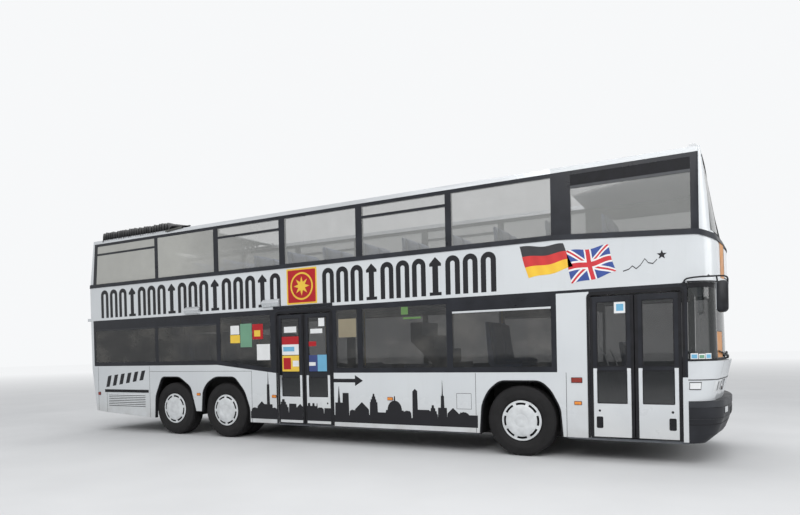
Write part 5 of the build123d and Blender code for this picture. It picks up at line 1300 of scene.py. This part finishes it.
# Seats
def pad_shape(length, width, height, crown, nx=18, ny=16, nz=4):
    """Closed crowned pad, its sides pulled in between the corners, as points and faces about its middle."""
    index, points, faces = {}, [], []

    def corner(i, j, k):
        if (i, j, k) not in index:
            u, v, w = 2 * i / nx - 1, 2 * j / ny - 1, 2 * k / nz - 1
            index[i, j, k] = len(points)
            edge = 1.0 - 0.1 * abs(w) ** 3
            z = 0.5 * height * w * (1.0 - 0.3 * max(abs(u), abs(v)) ** 10)
            if w > 0:
                z += 0.5 * height * crown * w * (1 - u * u) * (1 - v * v)
            points.append(Vector((0.5 * length * u * edge * (1 - 0.03 * (1 - v * v)),
                                  0.5 * width * v * edge * (1 - 0.03 * (1 - u * u)), z)))
        return index[i, j, k]

    def face(*places):
        faces.append([corner(*place) for place in places])

    for i in range(nx):
        for j in range(ny):
            face((i, j, nz), (i + 1, j, nz), (i + 1, j + 1, nz), (i, j + 1, nz))
            face((i, j, 0), (i, j + 1, 0), (i + 1, j + 1, 0), (i + 1, j, 0))
    for k in range(nz):
        for i in range(nx):
            face((i, 0, k), (i + 1, 0, k), (i + 1, 0, k + 1), (i, 0, k + 1))
            face((i, ny, k), (i, ny, k + 1), (i + 1, ny, k + 1), (i + 1, ny, k))
        for j in range(ny):
            face((0, j, k), (0, j, k + 1), (0, j + 1, k + 1), (0, j + 1, k))
            face((nx, j, k), (nx, j + 1, k), (nx, j + 1, k + 1), (nx, j, k + 1))
    return points, faces


def stuffed(points, faces, cap):
    """Swells the pad with a short cloth simulation, no point moving further than cap."""
    mesh = bpy.data.meshes.new("pad")
    mesh.from_pydata(points, [], faces)
    trial = bpy.data.objects.new("pad", mesh)
    scene = bpy.context.scene
    scene.collection.objects.link(trial)
    cloth = trial.modifiers.new("stuffing", "CLOTH")
    cloth.settings.use_pressure = True
    cloth.settings.uniform_pressure_force = 4.0
    cloth.settings.quality = 6
    cloth.settings.effector_weights.gravity = 0.0
    for moment in range(1, 21):
        scene.frame_set(moment)
    swollen = trial.evaluated_get(bpy.context.evaluated_depsgraph_get()).to_mesh()
    moved = []
    for start, vertex in zip(points, swollen.vertices):
        step = vertex.co - start
        moved.append(start + step * min(1.0, cap / max(step.length, 1e-9)))
    bpy.data.objects.remove(trial)
    scene.frame_set(1)
    return moved


def pad_kind(length, width, height, crown, channels):
    """Stuffed pad with sewn channels pressed across its upper face at places along it."""
    points, faces = pad_shape(length, width, height, crown)
    sewn = []
    for p in stuffed(points, faces, 0.01):
        press = sum(math.exp(-((p.x - place) / 0.011) ** 2) for place in channels) if p.z > 0 else 0.0
        sewn.append(p - Vector((0, 0, 0.006 * min(press, 1.0))))
    return sewn, faces


SEAT_PAD = pad_kind(0.43, 0.405, 0.07, 0.3, (-0.1, 0.06))
BACK_PAD = pad_kind(0.59, 0.405, 0.05, 0.3, (-0.12, 0.12))
SEAT_OUTLINE = [(-0.05, 0.335), (0.398, 0.34), (0.428, 0.374), (0.392, 0.38), (0.0, 0.37), (-0.088, 0.978),
                (-0.104, 0.998), (-0.13, 0.985), (-0.09, 0.39)]
SEAT_MIDDLE, BACK_LEAN = 0.74, math.atan2(0.088, 0.608)
place_at = Matrix.Translation


def leaning(angle):
    """Turn of a pad that makes it a backrest leaning by an angle."""
    return Matrix.Rotation(-math.pi / 2 - angle, 4, "Y") @ Matrix.Rotation(math.pi, 4, "X")


def lay(shape, pad, matrix):
    """Adds a copy of a pad, placed by matrix."""
    shape.add([matrix @ p for p in pad[0]], pad[1])


def seat_pads(shape, x, base, side):
    for y in about(side * SEAT_MIDDLE, 0.213):
        lay(shape, SEAT_PAD, place_at((x + 0.205, y, base + 0.404)) @ Matrix.Rotation(-0.02, 4, "Y"))
        lay(shape, BACK_PAD, place_at((x - 0.016, y, base + 0.69)) @ leaning(BACK_LEAN))


def seat_frame(shape, x, base, stand, side):
    """Moulded shell of a double seat, its grab handle, leg and foot."""
    middle, aisle = side * SEAT_MIDDLE, side * (SEAT_MIDDLE - 0.395)
    y0, y1 = about(middle, 0.428)
    shape.use(0).plate([(x + px, base + pz) for px, pz in SEAT_OUTLINE], (y0, y1))
    shape.use(1).plate([(x + 0.03, stand + 0.01), (x + 0.27, stand + 0.01), (x + 0.29, base + 0.336),
                        (x + 0.04, base + 0.336)], about(middle, 0.024))
    shape.box((x + 0.005, x + 0.3), about(middle, 0.038), (stand, stand + 0.01))
    shape.box((x - 0.03, x + 0.38), (y0 + 0.02, y1 - 0.02), (base + 0.318, base + 0.336))
    grip = [(-0.09, 0.82), (-0.118, 0.85), (-0.127, 0.9), (-0.127, 0.965), (-0.116, 0.988)]
    shape.use(2).tube([(x + px, aisle, base + pz) for px, pz in grip], 0.01, 8)
    shape.tube([(x - 0.112, y, base + 0.984) for y in (aisle, aisle + side * 0.14)], 0.01, 8)


# Place along the bus, height of the seat's datum, height of its foot, sides with a seat
LOWER_ROWS = [(-8.75, 1.01, 1.01, BOTH), (-8.0, 1.01, 1.01, BOTH), (-7.18, 0.96, 1.18, BOTH),
              (-6.43, 0.96, 1.18, BOTH), (-5.68, 0.96, 1.18, BOTH), (-3.5, 0.31, 0.31, (1,)),
              (-2.5, 0.31, 0.31, (-1,)), (-1.75, 0.31, 0.31, (-1,)), (-0.4, 0.93, 1.15, (-1,))]
UPPER_FLOOR, STAIR_ROWS = 2.3, (-3.12, -0.7)
UPPER_ROWS = [(x, UPPER_FLOOR, UPPER_FLOOR, (-1,) if STAIR_ROWS[0] <= x <= STAIR_ROWS[1] else BOTH)
              for x in (1.25 - 0.75 * n for n in range(14))]
CAB_SEAT = [(1.2, 0.862), (1.65, 0.862), (1.672, 0.89), (1.28, 0.9), (1.165, 1.575), (1.15, 1.594),
            (1.095, 1.59), (1.19, 0.9)]
BELLOWS = [(0.0, 0.0), (0.085, 0.0), (0.105, 0.02), (0.085, 0.04), (0.0, 0.04)]
for deck, rows, cloth, handle in (("lower", LOWER_ROWS, "seat_moquette", "yellow_tube"),
                                  ("upper", UPPER_ROWS, "seat_vinyl", "black_plastic")):
    frames, pads = Shape(), Shape()
    for x, base, stand, sides in rows:
        for side in sides:
            seat_frame(frames, x, base, stand, side)
            seat_pads(pads, x, base, side)
    if deck == "lower":
        # The driver's seat on its bellows
        cab = place_at((1.44, 0.62, 0.0))
        lay(pads, SEAT_PAD, cab @ place_at((0.0, 0.0, 0.925)) @ Matrix.Diagonal((1.05, 1.12, 1.2, 1.0)))
        lay(pads, BACK_PAD, cab @ place_at((-0.225, 0.0, 1.27)) @ leaning(0.16) @ Matrix.Diagonal((1.0, 1.1, 1.3, 1.0)))
        frames.use(0).plate(CAB_SEAT, (0.4, 0.84))
        for k in range(6):
            frames.use(3).turned(BELLOWS, (1.43, 0.62, 0.58 + 0.043 * k), (0, 0, 1), 24)
        frames.use(1).box((1.25, 1.62), (0.43, 0.81), (0.838, 0.862))
    frames.piece(f"{deck}_seat_frames", f"seat_shell chassis_paint {handle} black_rubber", slot="seat_shell",
                 bevel=0.006, stands_for=[f"{deck}_seats"])
    padding = pads.piece(f"{deck}_seat_pads", cloth, slot="seat_cloth", smooth=60.0, merge=False)

# Inside the lower deck
LINING_Z = (2.232, 2.249)
lining = Shape().box((-9.2, -2.64), (-1.15, 1.15), LINING_Z)
lining.box((-2.64, -0.88), (-1.15, 0.29), LINING_Z)
lining.box((-0.88, 2.08), (-1.15, 1.15), LINING_Z)
for side in BOTH:
    for x in (-8.9 + 1.2 * k for k in range(9)):
        if side < 0 or not -2.95 < x + 0.5 < -0.6:
            lining.use(1).box((x, x + 0.95), on_side(side, 0.56, 0.68), (2.216, 2.233))
lining.piece("ceiling_lining", "lining_grey lens_frost", slot="dash_plastic", bevel=0.003)

DIAL_Z, DIAL_FACING = 1.34, (-1, 0, 0.26)
cab = Shape().plate([(2.112, 1.286), (2.138, 1.386), (2.23, 1.4), (2.27, 1.288)], (0.39, 0.85))
for y, r in ((0.5, 0.05), (0.62, 0.034), (0.74, 0.05)):
    dial = (2.1265, y, DIAL_Z)
    cab.use(1).turned([(0.0, 0.004), (r, 0.004), (r + 0.006, 0.006), (r + 0.006, -0.004), (0.0, -0.004)], dial,
                      DIAL_FACING, 28)
    cab.use(2).turned([(0.0, 0.0052), (r * 0.92, 0.005), (r * 0.92, 0.004), (0.0, 0.004)], dial, DIAL_FACING, 28)
    for a in (math.radians(-130 + 32.5 * k) for k in range(9)):
        up, wide = 0.74 * r * math.cos(a), 0.74 * r * math.sin(a)
        cab.use(3).box(about(2.1205 - up * 0.26, 0.001), about(y + wide, 0.0016), about(DIAL_Z + up, 0.004))
for k in range(7):
    y = 0.88 + 0.026 * k
    cab.use(3 if k % 3 else 4).box((2.1, 2.116), (y, y + 0.018), (1.24, 1.256))
cab.use(0).box((1.9, 2.08), (0.18, 0.37), (0.98, 1.235))
cab.use(2).box((1.897, 1.902), (0.195, 0.355), (1.11, 1.22))
cab.use(0).box((2.135, 2.3), (-0.9, -0.56), (1.235, 1.262))
for k, number in enumerate((3, 5, 6, 3, 5)):
    x, y = 2.25 + 0.03 * k, -1.06 + 0.15 * k
    cab.use(number).plate([(x, 1.325), (x + 0.004, 1.325), (x - 0.03, 1.455), (x - 0.034, 1.455)], (y, y + 0.135))
cab.use(0).box((2.18, 2.42), (-1.08, -0.3), (1.3, 1.326))
for x in (1.06, 1.17):
    cab.use(1).tube([(x + px, -1.02, z) for px, z in ((0.0, 1.52), (0.06, 1.4), (0.13, 1.18), (0.13, 0.33))], 0.011, 8)
cab.piece("cab_fittings", "dash_plastic chrome black_plastic print_white lens_amber print_pale_blue print_green",
          slot="dash_plastic", bevel=0.002)

# Pins on which each door leaf turns at the ends of its arms
PIN_REACH, PIN_Y = 0.242, -1.228
for door, (x0, x1, *_) in DOORS.items():
    for leaf_name, x in (("rear", x0 + PIN_REACH), ("fore", x1 - PIN_REACH)):
        pins = Shape()
        for z0, z1 in ((2.188, 2.214), (0.317, 0.336)):
            pins.turned([(0.0, z0), (0.008, z0), (0.008, z1), (0.0, z1)], (x, PIN_Y, 0.0), (0, 0, 1), 12)
        pins.piece(f"door_{door}_{leaf_name}_pins", "black_plastic", f"door_{door}_{leaf_name}_leaf", "frame_paint")


def surround(x0, x1, front_foot):
    """Black rubber surround of a door opening with round upper corners."""
    lines = []
    for grow, top, r in ((0.03, 2.255, 0.075), (-0.002, 2.213, 0.045)):
        upper_corners = sorted(rounded(x0 - grow, x1 + grow, 0.312, top, r, 6)[7:21], key=lambda p: p[0])
        lines.append([(x0 - grow, 0.312)] + upper_corners + [(x1 + grow, front_foot)])
    return Shape().band(*lines, -1.2495, -1.253)


surround(0.957, 2.085, 1.13).join(surround(-4.33, -3.185, 0.312)).piece(
    "door_surrounds", "black_rubber", slot="frame_black")

# Left side: driver's window seam, emergency door and fuel flap
LEFT_SEAM = (1.2501, 1.2508)
left = Shape()
for x in (-8.93, -8.15):
    left.box(about(x, 0.002), LEFT_SEAM, (0.42, 1.335))
for xs, zs in (((-4.25, -3.35), (0.33, 1.18)), ((-2.7, -2.3), (0.62, 0.96)), ((0.76, 1.7), (0.33, 1.18))):
    left.band(rounded(*xs, *zs, 0.03, 4), rounded(*inset(xs, 0.004), *inset(zs, 0.004), 0.027, 4), *LEFT_SEAM, True)
left.box((-3.48, -3.4), (1.2501, 1.259), (0.74, 0.78))
left.use(1).turned([(0.0, 0.006), (0.012, 0.005), (0.016, 0.0), (0.0, -0.001)], (-2.36, 1.25, 0.79), (0, 1, 0), 16)
left.piece("left_side_seams", "black_rubber chrome")

# Studio and camera, as fitted to the photograph
FOLLOW, PITCH, ROLL = math.radians(27.96), math.radians(-0.69), math.radians(-1.24)
FOCAL_PX, FRAME_PX, CENTRE_PX, PRINCIPAL_PX = 605.1, 800.0, 257.5, 358.1
scene = bpy.context.scene


def staged(name, data):
    obj = bpy.data.objects.new(name, data)
    scene.collection.objects.link(obj)
    return obj


ahead = Vector((-math.sin(FOLLOW) * math.cos(PITCH), math.cos(FOLLOW) * math.cos(PITCH), math.sin(PITCH)))
level = Vector((math.cos(FOLLOW), math.sin(FOLLOW), 0.0))
upward = level.cross(ahead)
right = math.cos(ROLL) * level + math.sin(ROLL) * upward
above = math.cos(ROLL) * upward - math.sin(ROLL) * level
camera_data = bpy.data.cameras.new("camera")
camera_data.sensor_width = 36.0
camera_data.lens = FOCAL_PX / FRAME_PX * camera_data.sensor_width
camera_data.shift_y = (PRINCIPAL_PX - CENTRE_PX) / FRAME_PX
camera_data.clip_end = 400.0
scene.camera = staged("camera", camera_data)
scene.camera.matrix_world = Matrix.Translation((2.51 + FRONT_AXLE_X, -9.57, 1.53)) @ Matrix(
    (right, above, -ahead)).transposed().to_4x4()
scene.view_settings.view_transform = "Standard"

studio = Finish("studio_floor", {"rough": 0.85, "spec": 0.15})
studio.set("Base Color", studio.tone(0.6, (0.6, 0.605, 0.61), (0.64, 0.645, 0.65)))
# Far from the bus the floor fades into the pale backdrop, for the camera alone
away = studio.add("VectorMath", {0: studio.place}, operation="LENGTH").outputs["Value"]
fade = studio.math("POWER", studio.span(away, 12.0, 60.0), 0.6)
fade = studio.times(fade, studio.add("LightPath", {}).outputs["Is Camera Ray"])
backdrop = studio.add("Emission", {"Color": (0.9, 0.91, 0.92), "Strength": 1.0})
blend = studio.add("MixShader", {0: fade, 1: studio.shader.outputs["BSDF"], 2: backdrop.outputs["Emission"]})
studio.tree.links.new(blend.outputs["Shader"], studio.tree.nodes["Material Output"].inputs["Surface"])
REACH = 120.0
ground = bpy.data.meshes.new("studio_floor")
ground.from_pydata([(-REACH, -REACH, 0), (REACH, -REACH, 0), (REACH, REACH, 0), (-REACH, REACH, 0)], [], [(0, 1, 2, 3)])
ground.materials.append(studio.material)
staged("studio_floor", ground)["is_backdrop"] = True

# The camera, clear panes and mirrors see a paler sky than the one that lights the bus
scene.world = bpy.data.worlds.new("studio")
scene.world.use_nodes = True
sky = scene.world.node_tree
background = sky.nodes["Background"]
background.inputs["Color"].default_value = (0.95, 0.97, 1.0, 1.0)
background.inputs["Strength"].default_value = 0.55
seen, rays, either, glossy, choice = [sky.nodes.new("ShaderNode" + kind) for kind in (
    "Background", "LightPath", "Math", "Math", "MixShader")]
seen.inputs["Color"].default_value = (0.93, 0.94, 0.95, 1.0)
either.operation = glossy.operation = "MAXIMUM"
for source, out, target, into in (
        (rays, "Is Camera Ray", either, 0), (rays, "Is Transmission Ray", either, 1), (either, 0, glossy, 0),
        (rays, "Is Glossy Ray", glossy, 1), (glossy, 0, choice, "Fac"), (background, 0, choice, 1),
        (seen, 0, choice, 2),
        (choice, 0, sky.nodes["World Output"], "Surface")):
    sky.links.new(source.outputs[out], target.inputs[into])

# Soft lamps: place, what they face, size and power
for name, at, aim, size, power in (
        ("key", (6.0, -13.0, 11.0), (0.0, 0.0, 2.0), (14.0, 8.0), 1380.0),
        ("top", (0.0, 1.0, 14.0), (0.0, 0.0, 0.0), (16.0, 8.0), 900.0),
        ("front", (17.0, -2.0, 6.0), (4.0, 0.0, 2.0), (7.0, 6.0), 460.0),
        ("back", (-6.0, 12.0, 8.0), (0.0, 0.0, 2.0), (10.0, 6.0), 500.0)):
    light = bpy.data.lights.new(name, "AREA")
    light.shape = "RECTANGLE"
    light.size, light.size_y = size
    light.energy = power
    lamp = staged(name, light)
    lamp.location = at
    lamp.rotation_euler = (Vector(aim) - Vector(at)).to_track_quat("-Z", "Y").to_euler()

low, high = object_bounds()
